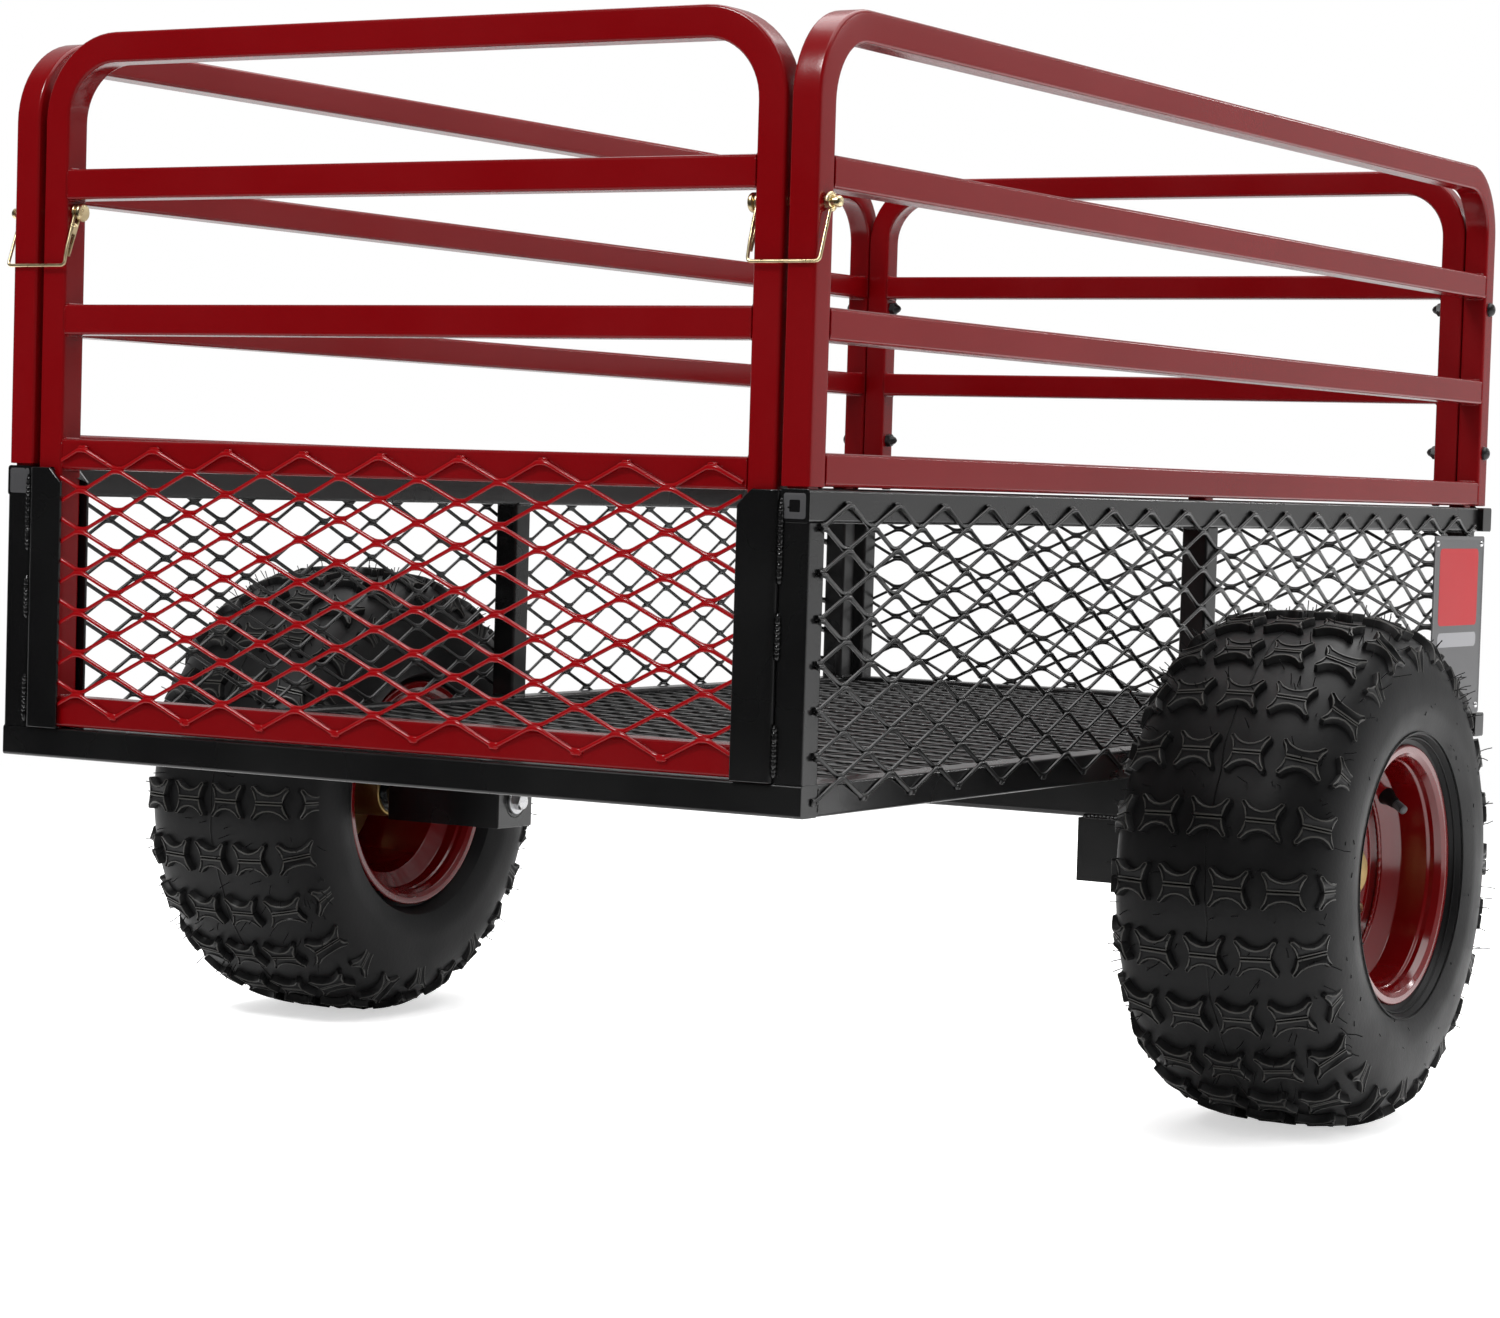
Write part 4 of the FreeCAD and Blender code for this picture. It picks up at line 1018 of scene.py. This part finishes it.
def buildRacks(look):
    # two side racks, the front rack and the tailgate, each a bent hoop with its rails
    half = tube / 2
    upper = [rackTop - half - look["pitch"] * k for k in (1, 2)]
    pieces = []
    for side, sign in sides:
        low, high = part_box("rack_" + side)
        line = sign * (halfWide - mm - half)
        pieces.append(("rack_" + side, Vector((low.x, line, 0)), xAxis, high.x - low.x, rackBase,
                       [rackBase + half] + upper))
    low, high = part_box("rack_front")
    pieces.append(("rack_front", Vector((low.x + half, low.y, 0)), yAxis, high.y - low.y, rackBase,
                   [rackBase + half] + upper))
    gateLow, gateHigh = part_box("tailgate")
    levels = [gateLow.z + half] + [gateHigh.z - half - look["pitch"] * k for k in (1, 2, 3)]
    pieces.append(("tailgate", Vector((gateLow.x + half, gateLow.y, 0)), yAxis, gateHigh.y - gateLow.y,
                   gateLow.z, levels))
    for name, corner, along, length, base, rails in pieces:
        bm = bmesh.new()
        welds = bmesh.new()
        buildHoop(bm, welds, corner, along, length, base, rackTop, rails, look)
        finishPiece(name + "_tubes", bm, "redPowder", "cage", [name])
        finishPiece(name + "_welds", welds, "redPowder", "cage", (), 60)


def stakeBoxes(side):
    # the parts of a side rack that hang below its bottom rail
    bm = bmesh.new()
    bm.from_mesh(nodes["rack_" + side].data)
    hanging = [v.co.copy() for v in bm.verts if v.co.z < rackBase - 10 * mm]
    bm.free()
    feet = sorted({round(p.x, 4) for p in hanging})
    bottom = min(p.z for p in hanging)
    ys = [p.y for p in hanging]
    return [(Vector((a, min(ys), bottom)), Vector((b, max(ys), rackBase + 2 * mm)))
            for a, b in zip(feet[0::2], feet[1::2])]


def buildStakes():
    for side in ("left", "right"):
        bm = bmesh.new()
        for low, high in stakeBoxes(side):
            straightTube(bm, low, high, 2.5 * mm)
        finishPiece("stakes_" + side, bm, "redPowder", "cage", bevel=0.8 * mm)


boltLook = {
    "head": 7.2 * mm, "dome": 5.2 * mm, "brim": 1.2 * mm, "stand": 6 * mm, "shank": 4 * mm, "nut": 6.6 * mm,
    "cap": ((5.5, 0.86), (8, 0.72), (10.5, 0.5), (12, 0.2), (12.2, 0.0)),
}


def buildRackBolts(look):
    # domed bolt heads outside, cap nuts inside
    bolts = bmesh.new()
    head = look["head"]
    brim = look["brim"]
    shank = look["shank"]
    for low, high in islandBoxes("rack_bolts"):
        middle = (low + high) / 2
        sign = 1 if middle.y > 0 else -1
        outer, inner = (high.y, low.y) if sign > 0 else (low.y, high.y)
        base = Vector((middle.x, outer - sign * look["stand"], middle.z))
        turns = [math.pi / 2 * k / 8 for k in range(9)]
        dome = [(0.0, head), (brim, head)]
        dome += [(brim + look["dome"] * math.sin(a), head * math.cos(a) * 0.98) for a in turns]
        revolve(bolts, dome, base, sign, 28)
        tip = -abs(base.y - inner)
        revolve(bolts, [(tip, 0.0), (tip, 3.4 * mm), (tip + 1 * mm, shank), (0.0, shank)], base, sign, 20)
    finishPiece("rack_bolts_domed", bolts, "blackZinc", "cage", ["rack_bolts"], 50)
    nuts = bmesh.new()
    for low, high in islandBoxes("rack_cap_nuts"):
        middle = (low + high) / 2
        sign = 1 if middle.y > 0 else -1
        spot = Vector((middle.x, high.y if sign > 0 else low.y, middle.z))
        hexNut(nuts, spot, -yAxis * sign, look["nut"] * 1.95, 6 * mm)
        revolve(nuts, [(out * mm, look["nut"] * share) for out, share in look["cap"]], spot, -sign, 28)
    finishPiece("rack_cap_nuts_domed", nuts, "blackZinc", "cage", ["rack_cap_nuts"], 35)


pinLook = {
    "shaft": 4.4 * mm, "head": 7.6 * mm, "wire": 1.35 * mm, "spread": 2.0 * mm, "sleeve": 2.6 * mm,
    "innerLeg": 58.2 * mm, "outerLeg": 3 * mm, "sleeveLong": 9 * mm,
}


def pinProfile(look, length):
    # round head, shaft, groove near the tip and a chamfered end
    r = look["shaft"]
    head = look["head"]
    neck = r - 0.9 * mm
    return [(0.0, 0.0), (0.0, head - 1.6 * mm), (0.5 * mm, head - 0.5 * mm), (1.4 * mm, head),
            (3.4 * mm, head), (4.4 * mm, head - 0.8 * mm), (4.8 * mm, r + 0.6 * mm), (5.4 * mm, r),
            (length - 9 * mm, r), (length - 8.4 * mm, neck), (length - 5.4 * mm, neck),
            (length - 4.8 * mm, r), (length - 2 * mm, r), (length - 0.5 * mm, r - 1.2 * mm), (length, 0.0)]


def buildLockPins(look):
    # round-headed pins, each with a square wire bail from its head to its tip
    for (side, sign), (low, high) in zip(sides, reversed(islandBoxes("lock_pins"))):
        middle = (low + high) / 2
        inner, outer = (low.y, high.y) if sign > 0 else (high.y, low.y)
        bm = bmesh.new()
        revolve(bm, pinProfile(look, abs(outer - inner)), Vector((middle.x, inner, middle.z)), sign, 32)
        finishPiece("lock_pin_" + side, bm, "yellowZinc", "cage", ["lock_pins"] if side == "left" else (), 45)
        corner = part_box("bail_" + side)[0]
        crossX = corner.x + 1.5 * mm
        crossZ = corner.z + 1.5 * mm
        innerY = sign * (halfWide - look["innerLeg"])
        outerY = sign * (halfWide + look["outerLeg"])
        hub = Vector((middle.x, 0, middle.z))
        down = (Vector((crossX, 0, crossZ)) - hub).normalized()
        sideways = down.cross(yAxis)
        eye = look["shaft"] + look["wire"] + 0.3 * mm

        def aroundPin(y, degrees):
            a = math.radians(degrees)
            return hub + yAxis * y - down * math.cos(a) * eye + sideways * math.sin(a) * eye

        bm = bmesh.new()
        foot = Vector((crossX, innerY, crossZ))
        gap = sideways * look["spread"]
        crossEnd = Vector((crossX, outerY, crossZ))
        longWay = [foot + gap - down * 9 * mm] + [aroundPin(innerY, 150 - 300 * k / 24) for k in range(25)]
        longWay += [foot - gap - down * 14 * mm, foot, foot.lerp(crossEnd, 0.5), crossEnd,
                    hub + yAxis * outerY + down * eye * 1.15]
        wire(bm, smoothLine(longWay, 4 * mm, 5), look["wire"], 12)
        hook = [aroundPin(outerY - sign * 0.4 * mm * k / 19, 180 - 290 * k / 19) for k in range(20)]
        wire(bm, hook, look["wire"] * 1.25, 12)
        start = hub + yAxis * innerY + down * (eye + 4 * mm)
        steps = 8
        sleeve = [start + down * (look["sleeveLong"] * k / steps) for k in range(steps + 1)]
        bulge = [0.8 + 0.2 * math.sin(math.pi * k / steps) for k in range(steps + 1)]
        section = outline(2.6 * look["sleeve"], 1.5 * look["sleeve"], 1.2 * mm)
        sweep(bm, sleeve, section, sideways, scales=bulge)
        finishPiece("bail_%s_wire" % side, bm, "yellowZinc", "bail_" + side, ["bail_" + side], 60)


buildRacks(rackLook)
buildStakes()
buildRackBolts(boltLook)
buildLockPins(pinLook)
print("racks and tailgate built")


tyreLook = {
    "rows": 24, "pitch": 44.6 * mm, "fade": (90 * mm, 118 * mm), "knobHeight": 7 * mm, "draft": 1.6 * mm,
    "rimLine": 2.0 * mm, "recess": 1.2 * mm, "tipShare": 0.35, "tipFrom": 13,
    "knob": ((-12.2, 0.9), (12.2, 0.9), (12.9, 4.6), (14.5, 9.4), (17, 14), (16.6, 15.8), (14.6, 16),
             (10, 11.4), (5, 8.8), (0, 8), (-5, 8.8), (-10, 11.4), (-14.6, 16), (-16.6, 15.8), (-17, 14),
             (-14.5, 9.4), (-12.9, 4.6)),
    "bead": ((80, 1), (81, 8), (83.5, 13.2), (89.5, 15.2), (96.5, 20)), "crown": 26 * mm,
    "squareness": (0.62, 0.55),
    "segments": 176, "ribs": (22 * mm, 30 * mm), "ribWire": 0.8 * mm, "hairs": 420, "flowMarks": 60,
}
rimLook = {
    "gauge": 3 * mm, "lip": 4.2 * mm, "shoulders": (26 * mm, 39 * mm), "slope": (10 * mm, 12 * mm),
    "segments": 128, "seatDrop": 11 * mm, "wellDrop": 16 * mm,
    "disc": ((0, 39.5), (3, 39.5), (3, 57), (9, 66), (9, 72), (5, 78)),
    "discBack": ((1, 78), (5, 72), (5, 66), (0, 57)),
}
# outer side of the wheel disc, from the middle of the rim
discFace = 22 * mm


def tyreSkin(look, side):
    # outer skin of the carcass as points (across, radius) from inboard bead to outboard bead
    low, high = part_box("tyre_" + side)
    halfW = (high.y - low.y) / 2 - 1.5 * mm
    top = (high.z - low.z) / 2 - look["knobHeight"]
    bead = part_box("rim_" + side)[1].z - (low.z + high.z) / 2 - rimLook["seatDrop"]
    foot = bead + look["crown"]
    flank, shoulder = look["squareness"]
    crown = []
    steps = 120
    for k in range(steps + 1):
        a = math.pi * (1 - k / steps)
        y = halfW * math.copysign(abs(math.cos(a)) ** flank, math.cos(a))
        crown.append(Vector((y, foot + (top - foot) * max(math.sin(a), 0) ** shoulder)))
    beadLine = [Vector((-across * mm, bead + r * mm)) for across, r in look["bead"]]
    mirrored = [Vector((-p.x, p.y)) for p in reversed(beadLine)]
    return beadLine + crown + mirrored, (low + high) / 2


def lengthsOf(points):
    # distance of each point along the line, from the line's middle
    run = [0.0]
    for a, b in zip(points, points[1:]):
        run.append(run[-1] + (b - a).length)
    middle = run[-1] / 2
    return [r - middle for r in run]


def buildTyre(side, sign, look):
    skin, centre = tyreSkin(look, side)
    runs = lengthsOf(skin)

    def onSkin(u, angle, lift):
        # a point `lift` above the skin, u along the section from the crown
        u = max(runs[1], min(runs[-2], u))
        k = max(i for i in range(len(runs) - 1) if runs[i] <= u)
        t = (u - runs[k]) / (runs[k + 1] - runs[k])
        run = (skin[min(k + 2, len(skin) - 1)] - skin[max(k - 1, 0)]).normalized()
        p = skin[k].lerp(skin[k + 1], t) + Vector((-run.y, run.x)) * lift
        return centre + Vector((math.cos(angle) * p.y, sign * p.x, math.sin(angle) * p.y))

    bm = bmesh.new()
    inner = [Vector((p.x * 0.9, max(p.y - 8 * mm, skin[0].y))) for p in skin[::6]]
    revolve(bm, skin[::2] + inner[::-1], centre, sign, look["segments"], True)
    addKnobs(bm, onSkin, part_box("tyre_" + side)[1].z - centre.z, look)
    turns = [math.tau * k / 360 for k in range(361)]
    # the centre seam takes slot 2, the darkest rubber, as painted shade of the thin dark line down the crown
    seam = [onSkin(1.2 * mm * math.sin(a * 12) + 0.5 * mm * math.sin(a * 31), a, 0.1 * mm) for a in turns]
    already = len(bm.faces)
    wire(bm, seam, look["ribWire"], 6)
    bm.faces.ensure_lookup_table()
    for face in bm.faces[already:]:
        face.material_index = 2
    for back in look["ribs"]:
        circle = [onSkin(runs[-1] - back, math.tau * k / 180, 0.0) for k in range(181)]
        wire(bm, circle, look["ribWire"], 6)
    addHairs(bm, onSkin, look["hairs"])
    addFlowMarks(bm, onSkin, runs[-1], look["flowMarks"])
    tyre = finishPiece("tyre_%s_treaded" % side, bm, "tyreRubber", "wheel_" + side, ["tyre_" + side], 40,
                       weighted=False)
    # slot 1: lighter rubber on the knob ridges, partly wear and partly a painted highlight
    tyre.data.materials.append(finishes["tyreWear"])
    # slot 2: darkest rubber, for the valve stem and as painted shade on the centre seam
    tyre.data.materials.append(finishes["valveRubber"])


def addKnobs(bm, onSkin, radius, look):
    # rows of bow-tie knobs, each a mirrored pair of halves with a ridge and a recessed top; the ridge faces
    # take a lighter rubber that is partly wear and partly a painted highlight of the lit edge
    halfKnob = [Vector(p) for p in look["knob"]]
    edgeNormals = []
    for k in range(len(halfKnob)):
        run = (halfKnob[(k + 1) % len(halfKnob)] - halfKnob[k - 1]).normalized()
        edgeNormals.append(Vector((run.y, -run.x)))
    height = look["knobHeight"]
    line = look["rimLine"]
    levels = ((look["draft"], -1.5 * mm), (0.25 * mm, height * 0.92), (-0.25 * mm, height),
              (-line * 0.6, height), (-line, height - look["recess"]))
    fadeFrom, fadeTo = look["fade"]

    def half(u0, angle0, flip):
        rings = []
        for grow, lift in levels:
            ring = []
            for corner, away in zip(halfKnob, edgeNormals):
                thin = look["tipShare"] if grow < 0 and corner.y > look["tipFrom"] else 1.0
                p = corner * mm + away * grow * thin
                u = u0 + p.x
                fade = max(0.0, min(1.0, (abs(u) - fadeFrom) / (fadeTo - fadeFrom)))
                sunk = lift * (1 - fade) - 0.5 * mm * fade
                ring.append(bm.verts.new(onSkin(u, angle0 + flip * p.y / radius, sunk)))
            rings.append(ring)
        for k, (first, second) in enumerate(zip(rings, rings[1:])):
            for face in bridge(bm, first, second):
                # the ridge faces (levels 1 and 2) get slot 1, the lighter rubber: wear plus a painted
                # highlight
                face.material_index = 1 if k in (1, 2) else 0
        bm.faces.new(rings[-1])

    for row in range(look["rows"]):
        shift = 0.0 if row % 2 else look["pitch"] / 2
        for k in range(-4, 4):
            u = k * look["pitch"] + shift
            for flip in ((-1, 1) if abs(u) <= fadeTo else ()):
                half(u, row * math.tau / look["rows"], flip)


def addHairs(bm, onSkin, count):
    # moulding hairs, none where the tyre stands on the ground
    for _ in range(count):
        angle = random.uniform(math.radians(-55), math.radians(235))
        u = random.choice((-1, 1)) * random.uniform(5, 112) * mm
        length = random.uniform(5, 16) * mm
        root = onSkin(u, angle, 0)
        tip = onSkin(u + random.uniform(-3, 3) * mm, angle + random.uniform(-0.015, 0.015), length)
        bend = root.lerp(tip, 0.6) + Vector((random.uniform(-1, 1), 0, random.uniform(-1, 1))) * mm
        wire(bm, [root, bend, tip], 0.45 * mm, 5)


def addFlowMarks(bm, onSkin, edge, count):
    # short raised marks on the outboard sidewall
    for _ in range(count):
        angle = random.uniform(0, math.tau)
        u = edge - random.uniform(34, 95) * mm
        slant = random.uniform(-3, 3) * mm
        reach = random.uniform(0.008, 0.028)
        wire(bm, [onSkin(u, angle, 0), onSkin(u + slant, angle + reach, 0.15 * mm)], 0.5 * mm, 5)


def rimSection(look, half, flange, seat, well):
    # from the inboard lip round to the outboard lip, outer face of the steel, then back along its inner face
    g = look["gauge"]
    lip = look["lip"]
    inboard, outboard = look["shoulders"]
    inSlope, outSlope = look["slope"]
    lipEdge = flange - lip * 1.5
    ridge = flange + lip * 0.15
    toe = seat + 2 * mm
    line = [(-half - lip * 0.1, lipEdge), (-half - lip * 0.25, flange), (-half + lip, ridge),
            (-half + lip * 1.1, toe), (-half + inboard, seat), (-half + inboard + inSlope, well),
            (half - outboard - outSlope, well), (half - outboard, seat), (half - lip * 1.1, toe),
            (half - lip, ridge), (half + lip * 0.25, flange), (half + lip * 0.1, lipEdge)]
    wall = seat - g * 1.3
    back = []
    for sign, shoulder, slope in ((1, outboard, outSlope), (-1, inboard, inSlope)):
        steps = [(half - 2.2 * mm, seat + 0.5 * mm), (half - 8 * mm, seat - 1.8 * mm),
                 (half - 12 * mm, seat - 2 * mm), (half - 14 * mm, wall), (half - shoulder + 1 * mm, wall),
                 (half - shoulder - slope + 1 * mm, well - g)]
        back += [(sign * y, r) for y, r in (steps if sign > 0 else steps[::-1])]
    return roundCorners(line + back, 1.8 * mm, 5, True)


def buildRim(side, sign, look):
    # pressed rim with its dished disc, and the bead that joins them
    low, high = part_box("rim_" + side)
    centre = (low + high) / 2
    flange = (high.z - low.z) / 2
    seat = flange - look["seatDrop"]
    well = seat - look["wellDrop"]
    inside = well - look["gauge"]
    segments = look["segments"]
    bm = bmesh.new()
    section = rimSection(look, (high.y - low.y) / 2, flange - 0.6 * mm, seat, well)
    revolve(bm, section, centre, sign, segments, True)
    disc = [(discFace + y * mm, r * mm) for y, r in look["disc"]]
    disc += [(discFace + 14 * mm, inside), (discFace + 12 * mm, inside)]
    disc += [(discFace + y * mm, r * mm) for y, r in look["discBack"]]
    revolve(bm, roundCorners(disc, 2.5 * mm, 4, True), centre, sign, segments, True)
    bead = bmesh.new()
    radius = inside - 0.5 * mm
    across = sign * (discFace + 13.5 * mm)
    turns = [math.tau * k / 240 for k in range(241)]
    ring = [centre + Vector((math.cos(a) * radius, across, math.sin(a) * radius)) for a in turns]
    ripples = [1 + 0.18 * math.sin(k * 2.1) for k in range(241)]
    wire(bead, ring, 2.0 * mm, 8, None, ripples)
    finishPiece("rim_%s_pressed" % side, bm, "rimRed", "wheel_" + side, ["rim_" + side], 50)
    finishPiece("rim_%s_weld" % side, bead, "rimRed", "wheel_" + side, (), 60)


hubLook = {
    "nose": 12 * mm, "bore": 21 * mm, "flange": 66 * mm, "nut": 17 * mm, "stud": 50.8 * mm,
    "studEnd": ((0.0, 4.9), (12.5, 4.9), (13.5, 4), (13.5, 0.0)),
    "cap": ((0, 24), (0, 31), (2.5, 31), (4, 28), (11, 25), (17, 15), (18, 0.0)),
}


def buildHub(side, sign, look):
    # turned hub, four lug nuts on their studs and a pressed dust cap
    low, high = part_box("hub_" + side)
    rimLow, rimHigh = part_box("rim_" + side)
    centre = (rimLow + rimHigh) / 2
    body = "wheel_" + side
    start = sign * ((low.y if sign > 0 else high.y) - centre.y) - discFace
    nose, flange, bore = look["nose"], look["flange"], look["bore"]
    bm = bmesh.new()
    section = roundCorners([(start, bore), (start, bore + 4 * mm), (start + 6 * mm, bore + 5 * mm),
                            (-24 * mm, bore + 6 * mm), (-14 * mm, 36 * mm), (-8 * mm, 45 * mm),
                            (-8 * mm, flange), (0, flange), (0, 39 * mm), (nose, 36 * mm), (nose, bore)],
                           1.6 * mm, 4, True)
    revolve(bm, [(p.x + discFace, p.y) for p in section], centre, sign, 72, True)
    nuts = bmesh.new()
    studEnd = [(y * mm, r * mm) for y, r in look["studEnd"]]
    for k in range(4):
        a = math.pi / 4 + k * math.pi / 2
        across = sign * (discFace + rimLook["gauge"])
        spot = centre + Vector((math.cos(a) * look["stud"], across, math.sin(a) * look["stud"]))
        hexNut(nuts, spot, yAxis * sign, look["nut"], 9 * mm, 5 * mm)
        revolve(nuts, studEnd, spot, sign, 20)
    finishPiece("hub_%s_turned" % side, bm, "hubZinc", body, ["hub_" + side], 40)
    finishPiece("lug_nuts_%s_hex" % side, nuts, "yellowZinc", body, ["lug_nuts_" + side], 32)
    cap = bmesh.new()
    capLow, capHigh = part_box("dust_cap_" + side)
    base = sign * ((capLow.y if sign > 0 else capHigh.y) - centre.y)
    dome = roundCorners([(base + y * mm, r * mm) for y, r in look["cap"]], 2 * mm, 5)
    revolve(cap, dome, centre, sign, 56)
    finishPiece("dust_cap_%s_pressed" % side, cap, "hubZinc", body, ["dust_cap_" + side], 45)


valveLook = {
    "angle": 42.0, "across": 43 * mm, "radius": 93 * mm, "slope": (16.0, 12.0), "length": 30,
    "stem": ((-3, 7.5), (-2, 8.4), (-0.3, 8.4), (0, 6.0), (2.4, 6.0), (3.2, 8.0), (5, 7.6), (8, 6.0),
             (16, 4.9), (17, 3.6), (19, 3.5)),
    "capStart": (18.0, 4.0), "grooves": ((1.0, 4.2), (1.3, 3.8), (1.9, 3.8)),
    "capEnd": ((0.8, 4.0), (0, 2.6)),
}


def buildValve(side, sign, look):
    # rubber stem square on the sloping wall of the rim's well, with a grooved cap
    rimLow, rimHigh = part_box("rim_" + side)
    turn = math.radians(look["angle"])
    around = Vector((math.cos(turn), 0, math.sin(turn)))
    out = yAxis * sign
    across, inward = look["slope"]
    along = (out * across - around * inward).normalized()
    foot = (rimLow + rimHigh) / 2 + around * look["radius"] + out * look["across"]

    def turned(name, profile, finish, replaces):
        bm = bmesh.new()
        wire(bm, [foot + along * a * mm for a, radius in profile], 1.0, 24,
             scales=[radius * mm for a, radius in profile])
        finishPiece(name, bm, finish, "wheel_" + side, replaces, 45)

    cap = [look["capStart"]]
    while cap[-1][0] < look["length"] - 3.2:
        base = cap[-1][0]
        cap += [(base + step, radius) for step, radius in look["grooves"]]
    cap += [(look["length"] - back, radius) for back, radius in look["capEnd"]]
    turned("valve_stem_%s_rubber" % side, look["stem"], "valveRubber", ["valve_stem_" + side])
    turned("valve_cap_" + side, cap, "plugPlastic", ())


for sideName, sideSign in sides:
    buildTyre(sideName, sideSign, tyreLook)
    buildRim(sideName, sideSign, rimLook)
    buildHub(sideName, sideSign, hubLook)
    buildValve(sideName, sideSign, valveLook)
print("wheels built")


tongueLook = {"tubes": (("axle_beam", 4 * mm, "open"), ("tongue", 4.5 * mm, "flat")), "bead": 2.6 * mm}


def buildTongue(look):
    for node, corner, ends in look["tubes"]:
        bm = bmesh.new()
        straightTube(bm, *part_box(node), corner, ends)
        finishPiece(node + "_tube", bm, "blackPowder", "bed", [node])


keptLooks = {
    "axle_brackets": "blackPowder", "axle_nuts": "bearingSteel", "bearings_left": "bearingSteel",
    "bearings_right": "bearingSteel", "hitch_fork": "blackPowder", "leg_bracket": "blackPowder",
    "leg_pivot_pin": "brightZinc", "stub_axle_left": "blackPowder", "stub_axle_right": "blackPowder",
    "support_leg": "blackPowder", "tongue_braces": "blackPowder",
}


def dressKeptNodes(looks):
    # CAD parts whose shape is right keep it, with softened edges and a finish of their own
    for name, look in looks.items():
        node = nodes[name]
        node.data.materials.clear()
        node.data.materials.append(finishes[look])
        node.modifiers.new("joinSeams", "WELD").merge_threshold = 0.01 * mm
        softenEdges(node, 0.9 * mm, 40)
        node.modifiers.new("evenNormals", "WEIGHTED_NORMAL").keep_sharp = True


endBoltLook = {"washer": 13 * mm, "thick": 3 * mm, "flats": 15 * mm, "head": 7 * mm}


def buildEndBolts(look):
    # washer and hex head on the inboard end of each stub axle
    bm = bmesh.new()
    for side, sign in sides:
        low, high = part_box("stub_axle_" + side)
        centre = (low + high) / 2
        centre.y = low.y if sign > 0 else high.y
        ring = roundCorners([(-look["thick"], 6 * mm), (0.0, 6 * mm), (0.0, look["washer"]),
                             (-look["thick"], look["washer"])], 0.8 * mm, 3, True)
        revolve(bm, ring, centre, sign, 40, True)
        spot = centre - yAxis * sign * look["thick"]
        hexNut(bm, spot, -yAxis * sign, look["flats"], look["head"])
    finishPiece("axle_end_bolts", bm, "brightZinc", "bed", ["axle_bolts"], 32)


def tongueWelds(look):
    # beads at the tongue's two ends, and where the drop brackets meet the axle beam
    bm = bmesh.new()
    r = look["bead"]
    low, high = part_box("tongue")
    for y in (low.y, high.y):
        weldBead(bm, Vector((low.x, y, low.z + 5 * mm)), Vector((low.x, y, high.z - 8 * mm)), r)
        weldBead(bm, Vector((high.x, y, low.z + 5 * mm)), Vector((high.x, y, high.z - 5 * mm)), r)
    weldBead(bm, Vector((high.x, low.y + 4 * mm, high.z)), Vector((high.x, high.y - 4 * mm, high.z)), r)
    beamLow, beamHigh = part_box("axle_beam")
    for bracketLow, bracketHigh in islandBoxes("axle_brackets"):
        first = max(bracketLow.y, beamLow.y) + 2 * mm
        last = min(bracketHigh.y, beamHigh.y) - 2 * mm
        for x in (beamLow.x, beamHigh.x):
            weldBead(bm, Vector((x, first, bracketHigh.z)), Vector((x, last, bracketHigh.z)), r)
    finishPiece("tongue_and_axle_welds", bm, "blackPowder", "bed", (), 60)


buildTongue(tongueLook)
dressKeptNodes(keptLooks)
buildEndBolts(endBoltLook)
tongueWelds(tongueLook)
print("axle and tongue built")
